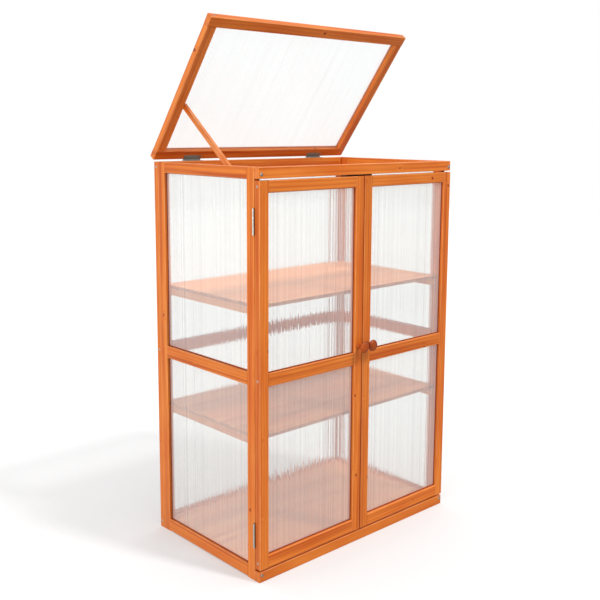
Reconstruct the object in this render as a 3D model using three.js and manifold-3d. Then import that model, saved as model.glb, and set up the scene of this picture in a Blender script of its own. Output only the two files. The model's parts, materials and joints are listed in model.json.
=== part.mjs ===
// A wooden mini greenhouse: a cabinet of battens that hold translucent twin-wall sheets, with two
// shelves and a floor inside, a pair of front doors, and a lid that a folding stick holds open.
// It stands here as in use: the doors are shut, and the lid is open on its stick.
//
// Millimetres, +Z up, +X to the right of someone who faces the doors. Sizes are worked out from the
// doors' front face at y = 0 and the middle of the width at x = 0. The whole is then shifted so that
// the origin lies on the ground, under the middle of its outer box.

import * as THREE from 'three';
import { mergeVertices } from 'three/addons/utils/BufferGeometryUtils.js';
import Module from 'manifold-3d';

const wasm = await Module();
wasm.setup();

// Cabinet
const cabinetWidth = 760;
const cabinetDepth = 470;
const cabinetHeight = 1100;

// Battens, and the hairline that is left in every joint
const battenThickness = 20;
const stileWidth = 30;
const topRailHeight = 30;
const lowRailHeight = 35;
const lowRailLift = 1.5;
const easedEdge = 1.2;
const jointGap = 0.3;

// Fixed rails above and below the doors
const frontRailHeight = 29;
const frontRailSetback = 2.1;

// Twin-wall sheets and the grooves that hold them
const paneThickness = 4;
const paneSetback = 8;
const lidPaneSetback = 4;
const grooveDepth = 8;

// Doors
const doorTopGap = 4.5;
const doorBottomGap = 6.5;
const doorMeetingGap = 4;

// Shelves: a board on two battens that are screwed to the side frames
const shelfThickness = 10;
const shelfBattenSize = 20;
const lowerShelfTop = 394;
const upperShelfTop = 746;
const shelfFront = 28;

// Butt hinges
const leafThickness = 0.8;
const leafSeatGap = 0.2;
const leafParting = 0.4;
const leafReach = 18;
const barrelRadius = 3;
const barrelClearance = 0.2;
const barrelRunningGap = 0.3;
const pinRadius = 1.4;
const knuckleCount = 5;
const doorHingeLength = 68;
const doorHingeTopInset = 103.5;
const doorHingeBottomInset = 93.5;
const lidHingeLength = 62;
const lidHingeInset = 133;
const hingeScrewRadius = 2.2;
const hingeScrewShares = [-0.36, 0, 0.36];

// Knobs, turned from one piece
const knobHeight = 588;
const knobReach = 32;
const knobFootRadius = 8;
const knobFootThickness = 2;
const knobNeckRadius = 5.5;
const knobNeckHeight = 12;
const knobHeadRadius = 16.5;
const knobRimHeight = 24;

// Lid, with its opening angle in degrees, and the stick that holds it open
const lidOpening = 53;
const propWidth = 16;
const propThickness = 8.7;
const propLength = 250;
const propOverhang = 8;
const propFootDrop = 3.4;
const propPivotReach = 189;
const propPivotRise = 3.5;
const pivotPinRadius = 2;
const pivotPinLength = 8.5;
const pivotRunningGap = 0.3;
const dowelRadius = 3;
const dowelEndGap = 0.5;
const restLength = 24;
const restHeight = 10;
const restFrontOffset = 4;
const restSideGap = 0.8;

// How much a cutting or joining shape runs past the piece that it works on
const overrun = 1;
const roundSides = 12;
const knobSides = 20;
const knobSteps = 5;

// Places worked out from the sizes above
const hingeGap = 2 * (leafSeatGap + leafThickness) + leafParting;
const barrelStandoff = barrelRadius + barrelClearance;
const sideFront = battenThickness + hingeGap;
const sideBack = cabinetDepth - battenThickness - jointGap;
const sideInner = cabinetWidth / 2 - battenThickness;
const doorLow = frontRailHeight + doorBottomGap;
const doorHeight = cabinetHeight - frontRailHeight - doorTopGap - doorLow;
const doorWidth = (cabinetWidth - doorMeetingGap) / 2;
const middleRailCentre = doorLow + doorHeight / 2;
const lidDepth = cabinetDepth - frontRailSetback;
const lidAxisY = cabinetDepth + barrelStandoff;
const lidAxisZ = cabinetHeight + hingeGap / 2;
const lidTurn = THREE.MathUtils.degToRad(lidOpening);
const propOuterFace = -cabinetWidth / 2 + stileWidth + jointGap;

// Where a point of the open lid lies: reach from the hinge axis along the lid, rise above that line
function onOpenLid(reach, rise) {
  return {
    y: lidAxisY - reach * Math.cos(lidTurn) + rise * Math.sin(lidTurn),
    z: lidAxisZ + reach * Math.sin(lidTurn) + rise * Math.cos(lidTurn),
  };
}

// The stick slopes down from its pivot until its dowel is just below the top of the side frame
const propPivot = onOpenLid(propPivotReach, hingeGap / 2 + propPivotRise);
const propFootZ = cabinetHeight - propFootDrop;
const propTurn = Math.asin((propPivot.z - propFootZ) / propLength);
const propFootY = propPivot.y - propLength * Math.cos(propTurn);
const outerFront = -jointGap - knobReach;
const outerBack = onOpenLid(barrelStandoff, hingeGap / 2 + battenThickness).y;

// Finishes
const stainedWood = new THREE.MeshStandardMaterial({ color: 0xd97c3a, roughness: 0.55, metalness: 0 });
const shelfWood = new THREE.MeshStandardMaterial({ color: 0xcf7a44, roughness: 0.65, metalness: 0 });
const twinWallSheet = new THREE.MeshStandardMaterial({
  color: 0xf2f5f5, roughness: 0.3, metalness: 0, transparent: true, opacity: 0.55,
});
const zincSteel = new THREE.MeshStandardMaterial({ color: 0xb9b9b6, roughness: 0.35, metalness: 1 });

// Solids: three.js shapes are joined and cut as closed solids, then turned back into geometry

function solidOf(geometry) {
  const bare = geometry.clone();
  bare.deleteAttribute('normal');
  bare.deleteAttribute('uv');
  const merged = mergeVertices(bare);
  const mesh = new wasm.Mesh({
    numProp: 3,
    vertProperties: new Float32Array(merged.attributes.position.array),
    triVerts: new Uint32Array(merged.index.array),
  });
  return new wasm.Manifold(mesh);
}

function geometryOf(solid) {
  const mesh = solid.getMesh();
  const geometry = new THREE.BufferGeometry();
  geometry.setAttribute('position', new THREE.BufferAttribute(mesh.vertProperties, 3));
  geometry.setIndex(new THREE.BufferAttribute(mesh.triVerts, 1));
  geometry.computeVertexNormals();
  return geometry;
}

function joined(first, ...others) {
  return geometryOf(others.reduce((solid, other) => solid.add(solidOf(other)), solidOf(first)));
}

function cutBy(first, ...tools) {
  return geometryOf(tools.reduce((solid, tool) => solid.subtract(solidOf(tool)), solidOf(first)));
}

// A box given by its two corners
function boxBetween(low, high) {
  const size = high.map((value, axis) => value - low[axis]);
  const box = new THREE.BoxGeometry(...size);
  box.translate(...low.map((value, axis) => value + size[axis] / 2));
  return box;
}

// A cylinder along z between two ends
function rod(radius, start, end) {
  const cylinder = new THREE.CylinderGeometry(radius, radius, end - start, roundSides);
  cylinder.rotateX(Math.PI / 2);
  cylinder.translate(0, 0, (start + end) / 2);
  return cylinder;
}

function rodAlongX(radius, start, end) {
  const cylinder = rod(radius, start, end);
  cylinder.rotateY(Math.PI / 2);
  return cylinder;
}

function named(name, geometry, material) {
  const mesh = new THREE.Mesh(geometry, material);
  mesh.name = name;
  return mesh;
}

// Turns a group so that its own x, y and z axes run along the three given directions
function orient(group, xAxis, yAxis, zAxis) {
  const basis = [xAxis, yAxis, zAxis].map((axis) => new THREE.Vector3(...axis));
  group.quaternion.setFromRotationMatrix(new THREE.Matrix4().makeBasis(...basis));
}

// Battens

// The section of a planed batten with eased edges, its corner at the origin
function battenSection(width, thickness) {
  const shape = new THREE.Shape();
  shape.moveTo(easedEdge, 0);
  shape.lineTo(width - easedEdge, 0);
  shape.lineTo(width, easedEdge);
  shape.lineTo(width, thickness - easedEdge);
  shape.lineTo(width - easedEdge, thickness);
  shape.lineTo(easedEdge, thickness);
  shape.lineTo(0, thickness - easedEdge);
  shape.lineTo(0, easedEdge);
  shape.closePath();
  return shape;
}

// An upright batten: x from left, y from 0 to the batten's thickness, z from low to high
function uprightBatten(left, width, low, high) {
  const section = battenSection(width, battenThickness);
  const batten = new THREE.ExtrudeGeometry(section, { depth: high - low, bevelEnabled: false });
  batten.translate(left, 0, low);
  return batten;
}

// A level batten that is centred on x = 0: its height is from low up
function levelBatten(length, low, height) {
  const section = battenSection(height, battenThickness);
  const batten = new THREE.ExtrudeGeometry(section, { depth: length, bevelEnabled: false });
  batten.rotateY(-Math.PI / 2);
  batten.translate(length / 2, 0, low);
  return batten;
}

// Framed panels

// Two stiles, the rails and a sheet in each opening between rails. Its own x runs across it, its
// outer face is at y = 0 and its lower edge at z = 0. Stiles are named from low x to high x, rails
// and sheets from the bottom up. Either the stiles or the rails run through at the corners.
function framedPanel({ width, height, stiles, rails, panes, setback = paneSetback, railsThrough = false }) {
  const panel = new THREE.Group();
  const openingHalf = width / 2 - stileWidth;
  const railLength = railsThrough ? width : 2 * (openingHalf - jointGap);
  const stileLow = railsThrough ? rails[0].low + rails[0].height + jointGap : 0;
  const stileHigh = railsThrough ? rails.at(-1).low - jointGap : height;

  const pockets = [];
  panes.forEach((name, index) => {
    const low = rails[index].low + rails[index].height;
    const high = rails[index + 1].low;
    const sheetDepth = grooveDepth - jointGap;
    const sheet = boxBetween(
      [-openingHalf - sheetDepth, setback, low - sheetDepth],
      [openingHalf + sheetDepth, setback + paneThickness, high + sheetDepth],
    );
    panel.add(named(name, sheet, twinWallSheet));
    pockets.push(boxBetween(
      [-openingHalf - grooveDepth, setback - jointGap, low - grooveDepth],
      [openingHalf + grooveDepth, setback + paneThickness + jointGap, high + grooveDepth],
    ));
  });

  stiles.forEach((name, index) => {
    const left = index === 0 ? -width / 2 : width / 2 - stileWidth;
    const stile = uprightBatten(left, stileWidth, stileLow, stileHigh);
    panel.add(named(name, cutBy(stile, ...pockets), stainedWood));
  });
  rails.forEach(({ name, low, height: railHeight }) => {
    const rail = levelBatten(railLength, low, railHeight);
    panel.add(named(name, cutBy(rail, ...pockets), stainedWood));
  });
  return panel;
}

// The three rails of an upright panel whose lower edge is the given height above the ground
function threeRails(prefix, ground, height, lift) {
  return [
    { name: `${prefix}_bottom_rail`, low: lift, height: lowRailHeight },
    { name: `${prefix}_middle_rail`, low: middleRailCentre - lowRailHeight / 2 - ground, height: lowRailHeight },
    { name: `${prefix}_top_rail`, low: height - topRailHeight, height: topRailHeight },
  ];
}

function cabinetPanel(prefix, width, stiles) {
  return framedPanel({
    width,
    height: cabinetHeight,
    stiles,
    rails: threeRails(prefix, 0, cabinetHeight, lowRailLift),
    panes: [`${prefix}_lower_pane`, `${prefix}_upper_pane`],
  });
}

// Changes one piece of a panel with a shape that is given in the cabinet's own coordinates
function worked(panel, name, change, shape) {
  const piece = panel.getObjectByName(name);
  panel.updateMatrix();
  shape.applyMatrix4(panel.matrix.clone().invert());
  piece.geometry = change(piece.geometry, shape);
}

function backFrame() {
  const panel = cabinetPanel('back', cabinetWidth, ['back_right_stile', 'back_left_stile']);
  orient(panel, [-1, 0, 0], [0, -1, 0], [0, 0, 1]);
  panel.position.y = cabinetDepth;
  return panel;
}

function sideFrame(side) {
  const isLeft = side === 'left';
  const stiles = [`${side}_front_stile`, `${side}_back_stile`];
  const panel = cabinetPanel(side, sideBack - sideFront, isLeft ? stiles.reverse() : stiles);
  const inward = isLeft ? 1 : -1;
  orient(panel, [0, -inward, 0], [inward, 0, 0], [0, 0, 1]);
  panel.position.set(-inward * cabinetWidth / 2, (sideFront + sideBack) / 2, 0);
  if (isLeft) {
    worked(panel, 'left_top_rail', joined, stickRest());
  }
  return panel;
}

// The little block on the left top rail that the stick's dowel rests on
function stickRest() {
  const front = propFootY - restFrontOffset;
  const top = propFootZ - dowelRadius - jointGap;
  return boxBetween(
    [-sideInner - overrun, front, top - restHeight],
    [propOuterFace - restSideGap, front + restLength, top],
  );
}

function frontRail(name, low) {
  const rail = named(name, levelBatten(cabinetWidth, low, frontRailHeight), stainedWood);
  rail.position.y = frontRailSetback;
  return rail;
}

// Shelves

// The board and its two battens are one piece: their outline is seen from the front
function shelf(name, top, front) {
  const half = sideInner - jointGap;
  const foot = top - shelfThickness - shelfBattenSize;
  const outline = new THREE.Shape();
  outline.moveTo(-half, foot);
  outline.lineTo(-half + shelfBattenSize, foot);
  outline.lineTo(-half + shelfBattenSize, top - shelfThickness);
  outline.lineTo(half - shelfBattenSize, top - shelfThickness);
  outline.lineTo(half - shelfBattenSize, foot);
  outline.lineTo(half, foot);
  outline.lineTo(half, top);
  outline.lineTo(-half, top);
  outline.closePath();
  const board = new THREE.ExtrudeGeometry(outline, { depth: sideBack - front, bevelEnabled: false });
  board.rotateX(Math.PI / 2);
  board.translate(0, sideBack, 0);
  return named(name, board, shelfWood);
}

// Hinges

// One leaf of a butt hinge whose axis is z. The leaves reach towards +x, shut against each other:
// the fixed leaf lies on the +y side and carries the pin, the moving leaf lies on the -y side.
function hingeLeaf(name, length, isFixed) {
  const near = leafParting / 2;
  const far = near + leafThickness;
  const [lowY, highY] = isFixed ? [near, far] : [-far, -near];
  const plateStart = barrelRadius + barrelRunningGap;
  const pitch = length / knuckleCount;
  const plate = boxBetween([plateStart, lowY, -length / 2], [leafReach, highY, length / 2]);

  const barrel = [];
  for (let index = isFixed ? 0 : 1; index < knuckleCount; index += 2) {
    const low = -length / 2 + index * pitch + (index > 0 ? barrelRunningGap / 2 : 0);
    const isLast = index === knuckleCount - 1;
    const high = -length / 2 + (index + 1) * pitch - (isLast ? 0 : barrelRunningGap / 2);
    barrel.push(rod(barrelRadius, low, high));
    barrel.push(boxBetween([0, lowY, low], [plateStart + overrun, highY, high]));
  }

  const cuts = hingeScrewShares.map((share) => {
    const hole = rod(hingeScrewRadius, -overrun, overrun);
    hole.rotateX(Math.PI / 2);
    hole.translate((plateStart + leafReach) / 2, (lowY + highY) / 2, share * length);
    return hole;
  });
  if (isFixed) {
    barrel.push(rod(pinRadius, -length / 2, length / 2));
  } else {
    cuts.push(rod(pinRadius + barrelRunningGap, -length / 2, length / 2));
  }
  return named(name, cutBy(joined(plate, ...barrel), ...cuts), zincSteel);
}

// Places one leaf: its own axes run along the three given directions
function placedLeaf(leaf, place, axes) {
  orient(leaf, ...axes);
  leaf.position.set(...place);
  return leaf;
}

function doorHinges(side) {
  const outward = side === 'left' ? -1 : 1;
  const axes = [[-outward, 0, 0], [0, 1, 0], [0, 0, -outward]];
  const heights = {
    upper: doorLow + doorHeight - doorHingeTopInset,
    lower: doorLow + doorHingeBottomInset,
  };
  const axisX = outward * (cabinetWidth / 2 + barrelStandoff);
  const axisY = battenThickness + hingeGap / 2;
  return Object.entries(heights).flatMap(([level, height]) => [true, false].map((isFixed) => {
    const name = `${side}_door_${level}_hinge_${isFixed ? 'frame' : 'door'}_leaf`;
    return placedLeaf(hingeLeaf(name, doorHingeLength, isFixed), [axisX, axisY, height], axes);
  }));
}

// The leaves of one kind, at the given axis: fixed ones stand on the back frame, the others on the lid
function lidHingeLeaves(isFixed, axisY, axisZ) {
  const axes = [[0, -1, 0], [0, 0, -1], [1, 0, 0]];
  return [['left', -1], ['right', 1]].map(([side, sign]) => {
    const name = `lid_${side}_hinge_${isFixed ? 'frame' : 'lid'}_leaf`;
    const axisX = sign * (cabinetWidth / 2 - lidHingeInset);
    return placedLeaf(hingeLeaf(name, lidHingeLength, isFixed), [axisX, axisY, axisZ], axes);
  });
}

// Doors

function knob(name) {
  const profile = new THREE.Path();
  profile.moveTo(0, 0);
  profile.lineTo(knobFootRadius, 0);
  profile.lineTo(knobFootRadius, knobFootThickness);
  profile.quadraticCurveTo(knobNeckRadius, knobFootThickness, knobNeckRadius, knobNeckHeight);
  profile.quadraticCurveTo(knobNeckRadius, knobRimHeight, knobHeadRadius, knobRimHeight);
  profile.absellipse(0, knobRimHeight, knobHeadRadius, knobReach - knobRimHeight, 0, Math.PI / 2);
  const turned = new THREE.LatheGeometry(profile.getPoints(knobSteps), knobSides);
  turned.rotateX(Math.PI);
  return named(name, geometryOf(solidOf(turned)), stainedWood);
}

function door(side) {
  const prefix = `${side}_door`;
  const isLeft = side === 'left';
  const stiles = [`${prefix}_hinge_stile`, `${prefix}_meeting_stile`];
  const panel = framedPanel({
    width: doorWidth,
    height: doorHeight,
    stiles: isLeft ? stiles : stiles.reverse(),
    rails: threeRails(prefix, doorLow, doorHeight, 0),
    panes: [`${prefix}_lower_pane`, `${prefix}_upper_pane`],
  });
  const outward = isLeft ? -1 : 1;
  panel.position.set(outward * (doorMeetingGap + doorWidth) / 2, 0, doorLow);

  const handle = knob(`${prefix}_knob`);
  handle.position.set(outward * (doorMeetingGap + stileWidth) / 2, -jointGap, knobHeight);
  return [panel, handle];
}

// Lid

// The stick turns on a pin at its top end. It lies along -y from there, and its dowel points to -x.
function lidProp() {
  const radius = propWidth / 2;
  const outline = new THREE.Shape();
  outline.absarc(0, 0, radius, -Math.PI / 2, Math.PI / 2);
  outline.lineTo(-propLength - propOverhang + easedEdge, radius);
  outline.lineTo(-propLength - propOverhang, radius - easedEdge);
  outline.lineTo(-propLength - propOverhang, -radius + easedEdge);
  outline.lineTo(-propLength - propOverhang + easedEdge, -radius);
  outline.closePath();
  const stick = new THREE.ExtrudeGeometry(outline, { depth: propThickness, bevelEnabled: false });
  stick.applyMatrix4(new THREE.Matrix4().makeBasis(
    new THREE.Vector3(0, 1, 0), new THREE.Vector3(0, 0, 1), new THREE.Vector3(1, 0, 0),
  ));

  const pin = rodAlongX(pivotPinRadius, -jointGap - pivotPinLength, overrun);
  const dowelReach = propOuterFace + sideInner - dowelEndGap;
  const dowel = rodAlongX(dowelRadius, -dowelReach, overrun);
  dowel.translate(0, -propLength, 0);
  return named('lid_prop', joined(stick, pin, dowel), stainedWood);
}

// Built shut, with the hinge axis through the origin, then turned open
function lid() {
  const group = new THREE.Group();
  const panel = framedPanel({
    width: cabinetWidth,
    height: lidDepth,
    stiles: ['lid_right_stile', 'lid_left_stile'],
    rails: [
      { name: 'lid_hinge_rail', low: 0, height: topRailHeight },
      { name: 'lid_free_rail', low: lidDepth - topRailHeight, height: topRailHeight },
    ],
    panes: ['lid_pane'],
    setback: lidPaneSetback,
    railsThrough: true,
  });
  orient(panel, [-1, 0, 0], [0, 0, -1], [0, -1, 0]);
  panel.position.set(0, -barrelStandoff, hingeGap / 2 + battenThickness);

  const pivotHeight = hingeGap / 2 + propPivotRise;
  const innerEdge = propOuterFace - jointGap;
  const boreEnd = innerEdge - pivotPinLength - pivotRunningGap;
  const bore = rodAlongX(pivotPinRadius + pivotRunningGap, boreEnd, innerEdge + overrun);
  bore.translate(0, -propPivotReach, pivotHeight);
  worked(panel, 'lid_left_stile', cutBy, bore);

  const prop = lidProp();
  prop.position.set(propOuterFace, -propPivotReach, pivotHeight);
  prop.rotation.x = lidTurn + propTurn;

  group.add(panel, prop, ...lidHingeLeaves(false, 0, 0));
  group.position.set(0, lidAxisY, lidAxisZ);
  group.rotation.x = -lidTurn;
  return group;
}

// The whole

const greenhouse = new THREE.Group();
greenhouse.add(
  backFrame(),
  sideFrame('left'),
  sideFrame('right'),
  frontRail('front_bottom_rail', 0),
  frontRail('front_top_rail', cabinetHeight - frontRailHeight),
  shelf('floor_shelf', shelfBattenSize + shelfThickness, frontRailSetback + battenThickness + jointGap),
  shelf('lower_shelf', lowerShelfTop, shelfFront),
  shelf('upper_shelf', upperShelfTop, shelfFront),
  ...door('left'),
  ...door('right'),
  ...doorHinges('left'),
  ...doorHinges('right'),
  ...lidHingeLeaves(true, lidAxisY, lidAxisZ),
  lid(),
);
greenhouse.position.y = -(outerFront + outerBack) / 2;

export default greenhouse;
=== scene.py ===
"""Looks of a wooden mini greenhouse, made around its packed CAD model.

The battens, shelves, fluted sheets, knobs, hinges, screws, catch and folding stick are finished pieces
with procedural materials. Each stands for a CAD node or rides on one of the CAD bodies. Metres, +Z up,
and the doors face -Y. The lid is packed open, so its pieces are worked out shut and then turned.
"""

import json
import math
import random

import bmesh
import bpy
import numpy as np
from bpy.props import FloatProperty, FloatVectorProperty, IntProperty, PointerProperty
from mathutils import Matrix, Vector


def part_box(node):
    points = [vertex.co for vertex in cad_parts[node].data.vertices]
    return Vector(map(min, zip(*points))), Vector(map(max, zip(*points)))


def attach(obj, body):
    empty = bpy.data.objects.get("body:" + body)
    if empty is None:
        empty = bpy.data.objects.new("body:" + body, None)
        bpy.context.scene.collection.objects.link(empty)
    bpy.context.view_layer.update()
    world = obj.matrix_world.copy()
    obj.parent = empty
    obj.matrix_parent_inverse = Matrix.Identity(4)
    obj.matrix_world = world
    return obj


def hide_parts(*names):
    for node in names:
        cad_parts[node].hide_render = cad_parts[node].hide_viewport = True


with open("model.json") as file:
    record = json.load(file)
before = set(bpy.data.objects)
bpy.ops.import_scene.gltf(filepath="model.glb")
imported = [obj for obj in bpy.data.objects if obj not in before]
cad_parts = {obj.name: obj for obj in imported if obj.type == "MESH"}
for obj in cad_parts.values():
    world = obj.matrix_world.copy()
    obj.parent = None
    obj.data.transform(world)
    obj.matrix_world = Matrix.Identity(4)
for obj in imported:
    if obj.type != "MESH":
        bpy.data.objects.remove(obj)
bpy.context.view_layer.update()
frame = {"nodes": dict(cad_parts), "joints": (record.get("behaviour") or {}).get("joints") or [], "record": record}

bl_info = {
    "name": "Wooden mini greenhouse",
    "version": (1, 0, 0),
    "blender": (4, 5, 0),
    "location": "3D view, sidebar, Greenhouse",
    "description": "Finished pieces, materials and stage of a wooden mini greenhouse",
    "category": "Object",
}

MM = 0.001
UP = Vector((0, 0, 1))
FRONT = Vector((0, -1, 0))
BACK = Vector((0, 1, 0))
RIGHT = Vector((1, 0, 0))
NODES = frame["nodes"]
JOINTS = {joint["name"]: joint for joint in frame["joints"]}
BODY_OF = {
    node: body
    for body, members in frame["record"]["behaviour"]["bodies"].items()
    for node in members
}
WOOD_NODES = [
    row["node"] for row in frame["record"]["subparts"] if row["material_slot"] == "stained_wood"
]
SHEET_NODES = [
    row["node"] for row in frame["record"]["subparts"] if row["material_slot"] == "twin_wall_sheet"
]
SHELVES = ("floor_shelf", "lower_shelf", "upper_shelf")
LEVELS = ("top", "middle", "bottom")
SIDES = {"left": -1, "right": 1}

# Sizes that the CAD model was made with
EASED_EDGE = 1.2 * MM
SHEET_TUCK = 7.7 * MM
SHELF_BOARD = 10 * MM
SHELF_BATTEN = 20 * MM
STICK_WIDTH = 16 * MM
STICK_OVERHANG = 8 * MM
DOWEL_RADIUS = 3 * MM
LEAF_THICKNESS = 0.8 * MM
LEAF_PARTING = 0.4 * MM
LEAF_REACH = 18 * MM
BARREL_RADIUS = 3 * MM
BARREL_GAP = 0.3 * MM
PIN_RADIUS = 1.4 * MM
KNUCKLES = 5
LEAF_HOLE_RADIUS = 2.2 * MM
LEAF_HOLE_SHARES = (-0.36, 0, 0.36)
LEAF_HOLE_REACH = (BARREL_RADIUS + BARREL_GAP + LEAF_REACH) / 2

# Sizes of what only this script makes
HINGE_SCREW_HEAD = 4.2 * MM
HINGE_SCREW_SINK = 0.15 * MM
PIN_HEAD_RADIUS = 2.1 * MM
WASHER_THICKNESS = 1.1 * MM
PIVOT_HEAD = 8 * MM

# Noise, in patterns per metre on each axis. Wood's first axis is the grain's, and a sheet's runs
# across its ribs.
GRAIN_BENDS = (1.6, 9, 9)
FIBRES = (14, 1100, 1100)
STREAKS = (0.9, 62, 62)
CLOUDS = (5, 26, 26)
KNOT_CELLS = (4.5, 24, 24)
RUBBED_PATCHES = (18, 60, 60)
DUST_PATCHES = (9, 9, 9)
FINE_LINES = (270, 1, 1)
GLOW_LINES = (230, 1, 1)
SHEET_WAVES = (185, 1, 1)
BROAD_LINES = (38, 1, 1)
PLATING_CLOUDS = (260, 260, 260)
PLATING_SCRATCHES = (2600, 2600, 90)
MOULD_SPECKS = (1800, 1800, 1800)

# How far the fibres bend sideways, in metres, how a knot is drawn out through its batten, the
# share of the places for one that have none, and its colour as a share of the deep stain
BEND = (0, 0.02, 0.02)
KNOT_SHAPE = (0.8, 1, 0.3)
KNOTLESS = 0.62
KNOT_DARKENING = (0.62, 0.52, 0.48, 1)

# Where the camera is, and its yaw, pitch and roll in degrees
CAMERA_PLACE = (-1.7867, -1.9069, 1.1949)
CAMERA_ANGLES = (-42.6, -8.34, 0.28)

# Where each lamp's light comes from, how wide the lamp looks, where reflections are brightest,
# and the floor's size in metres
LEFT_LIGHT_FROM = (-0.99, -0.12, 0.07)
LEFT_LIGHT_DEGREES = 20
FRONT_LIGHT_FROM = (0.22, -0.56, 0.8)
FRONT_LIGHT_DEGREES = 7
BRIGHT_SIDE = (-0.7, 0.6, 0.35)
FLOOR_HALF_WIDTH = 9


def linear(*channels):
    """The scene's own values of a colour that is written in 0 to 255."""
    shares = [channel / 255 for channel in channels]
    return tuple(s / 12.92 if s <= 0.04045 else ((s + 0.055) / 1.055) ** 2.4 for s in shares)


def colour(name, description, *channels):
    return FloatVectorProperty(
        name=name,
        description=description,
        subtype="COLOR",
        size=3,
        min=0,
        max=1,
        default=linear(*channels),
    )


def length(name, description, default):
    return FloatProperty(
        name=name, description=description, default=default, min=0, unit="LENGTH", precision=5
    )


def share(name, description, default):
    return FloatProperty(
        name=name, description=description, default=default, min=0, max=1, subtype="FACTOR"
    )


def light_level(name, description, default):
    return FloatProperty(name=name, description=description, default=default, min=0)


class GREENHOUSE_PG_wood(bpy.types.PropertyGroup):
    """Stain and grain of the battens, shelves, knobs and stick"""

    pale: colour("Pale wood", "Early wood under the stain", 235, 137, 50)
    stain: colour("Stain", "The stain's usual orange", 221, 114, 34)
    deep: colour("Deep stain", "Late wood and knots", 176, 68, 10)
    rubbed: colour("Rubbed edge", "Wood that shows where an edge is worn", 250, 186, 128)
    shelf_pale: colour("Pale shelf", "Early wood of the shelf boards", 246, 160, 96)
    shelf_stain: colour("Shelf stain", "The shelf boards' usual colour", 238, 138, 72)
    shelf_deep: colour("Deep shelf", "Late wood of the shelf boards", 190, 88, 40)
    # Painted shade: the shelf boards' edges and underside are drawn darker, as they get less light
    shelf_shade: colour("Shelf edge", "Edges and underside of the shelf boards", 158, 68, 38)
    knob_pale: colour("Pale knob", "Early wood of the knobs", 184, 80, 8)
    knob: colour("Knob", "Late wood of the knobs", 112, 40, 4)
    ring_spacing: length("Ring spacing", "Width of one year ring", 8.5 * MM)
    knot_radius: length("Knot radius", "Radius of a knot", 3.4 * MM)
    wear: share("Wear", "How far the stain is rubbed off along edges", 0.45)
    rounding: length("Rounding", "Radius that softens each edge of a batten", 0.35 * MM)


class GREENHOUSE_PG_sheet(bpy.types.PropertyGroup):
    """Fluted sheets"""

    clear: colour("Clear", "Colour of the sheet between its ribs", 245, 247, 246)
    rib: colour("Rib", "Colour of the sheet along its ribs", 203, 205, 207)
    # Painted light: the lid's sheet is drawn whiter than the others, because it stands against the light
    lid_brightened_clear: colour("Lid clear", "Colour of the lid's sheet between its ribs", 250, 254, 255)
    lid_brightened_rib: colour("Lid rib", "Colour of the lid's sheet along its ribs", 232, 239, 240)
    # Painted shade: a dark line drawn where a sheet goes into its groove, and the width of that line
    seam: colour("Seam", "Dark line where a sheet goes into its groove", 180, 82, 18)
    groove_shade_width: length("Seam width", "Width of that line", 2.2 * MM)
    pitch: length("Pitch", "From one rib to the next", 5.5 * MM)
    hollow: length("Hollow", "How far a face sinks in between two ribs", 0.3 * MM)
    steps: IntProperty(name="Steps", description="Faces across one flute", default=8, min=4, max=16)
    see_through: share("See-through", "Share of the light that goes through one face", 0.86)
    roughness: share("Roughness", "Roughness of the sheet's faces", 0.03)
    # Streaks: how unevenly the sheets' painted glow falls, column by column
    streaks: share("Streaks", "How unevenly the sheet spreads light, column by column", 0.55)
    unevenness: length("Unevenness", "Height of the waves that blur what lies behind", 1.0 * MM)
    # Painted glow: the sheets send out light of their own, which stands in for light spread from their far side
    scatter: share("Scatter", "Light that a sheet spreads from its far side to its near one", 0.09)
    lid_painted_glow: share("Lid scatter", "The same for the lid, which stands against the light", 0.15)


class GREENHOUSE_PG_shelf(bpy.types.PropertyGroup):
    """Shelf boards, glued up from strips"""

    strips: IntProperty(name="Strips", description="Strips in one board", default=5, min=1, max=12)
    rounding: length("Rounding", "Radius along each strip's edges", 0.6 * MM)


class GREENHOUSE_PG_fittings(bpy.types.PropertyGroup):
    """Knobs, screws and the catch"""

    steel: colour("Steel", "Zinc-plated steel", 198, 196, 190)
    dull_steel: colour("Dull steel", "Cloudy patches of the plating", 158, 156, 151)
    plastic: colour("Catch", "Black plastic of the catch", 24, 23, 24)
    knob_radius: length("Knob radius", "Radius of the knob's head", 16.5 * MM)
    pan_head: length("Pan head", "Diameter of the screws on the front rails", 9 * MM)
    flush_head: length("Flush head", "Diameter of the screws in the battens' edges", 7 * MM)
    shelf_head: length("Shelf head", "Diameter of the screws in the shelves' battens", 5.95 * MM)
    dust: colour("Dust", "Thin film of dust on the fittings", 226, 222, 214)
    catch_width: length("Catch width", "Width of the double catch", 104 * MM)


class GREENHOUSE_PG_stage(bpy.types.PropertyGroup):
    """Camera, light and floor"""

    lens: FloatProperty(name="Lens", description="Focal length", default=52.9, unit="CAMERA")
    shift: FloatProperty(name="Shift", description="Rise of the camera's frame", default=-0.07)
    high_sky: light_level("High sky", "Light from overhead", 1.5)
    low_sky: light_level("Low sky", "Light from level with the floor", 0.35)
    left_sun: light_level("Left light", "Low light from the left", 1.4)
    front_sun: light_level("Front light", "High light from the front, which throws the shadow", 1.5)
    floor: colour("Floor", "What the floor sends back to the object", 173, 173, 173)
    seen_floor: share("Seen floor", "Share of the seen floor that takes shadow", 0.56)
    floor_glow: share("Floor glow", "Rest of the seen floor, which stays white", 0.27)


# Nodes


def node(tree, kind, inputs=None, **settings):
    """Adds a node. An input may be given a value or the socket that feeds it."""
    made = tree.nodes.new(kind)
    for name, value in settings.items():
        setattr(made, name, value)
    for key, value in (inputs or {}).items():
        if isinstance(value, bpy.types.NodeSocket):
            tree.links.new(value, made.inputs[key])
        else:
            made.inputs[key].default_value = value
    return made


def calc(tree, operation, *values, clamp=False):
    """A number worked out from numbers."""
    inputs = dict(enumerate(values))
    return node(tree, "ShaderNodeMath", inputs, operation=operation, use_clamp=clamp).outputs[0]


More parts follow.
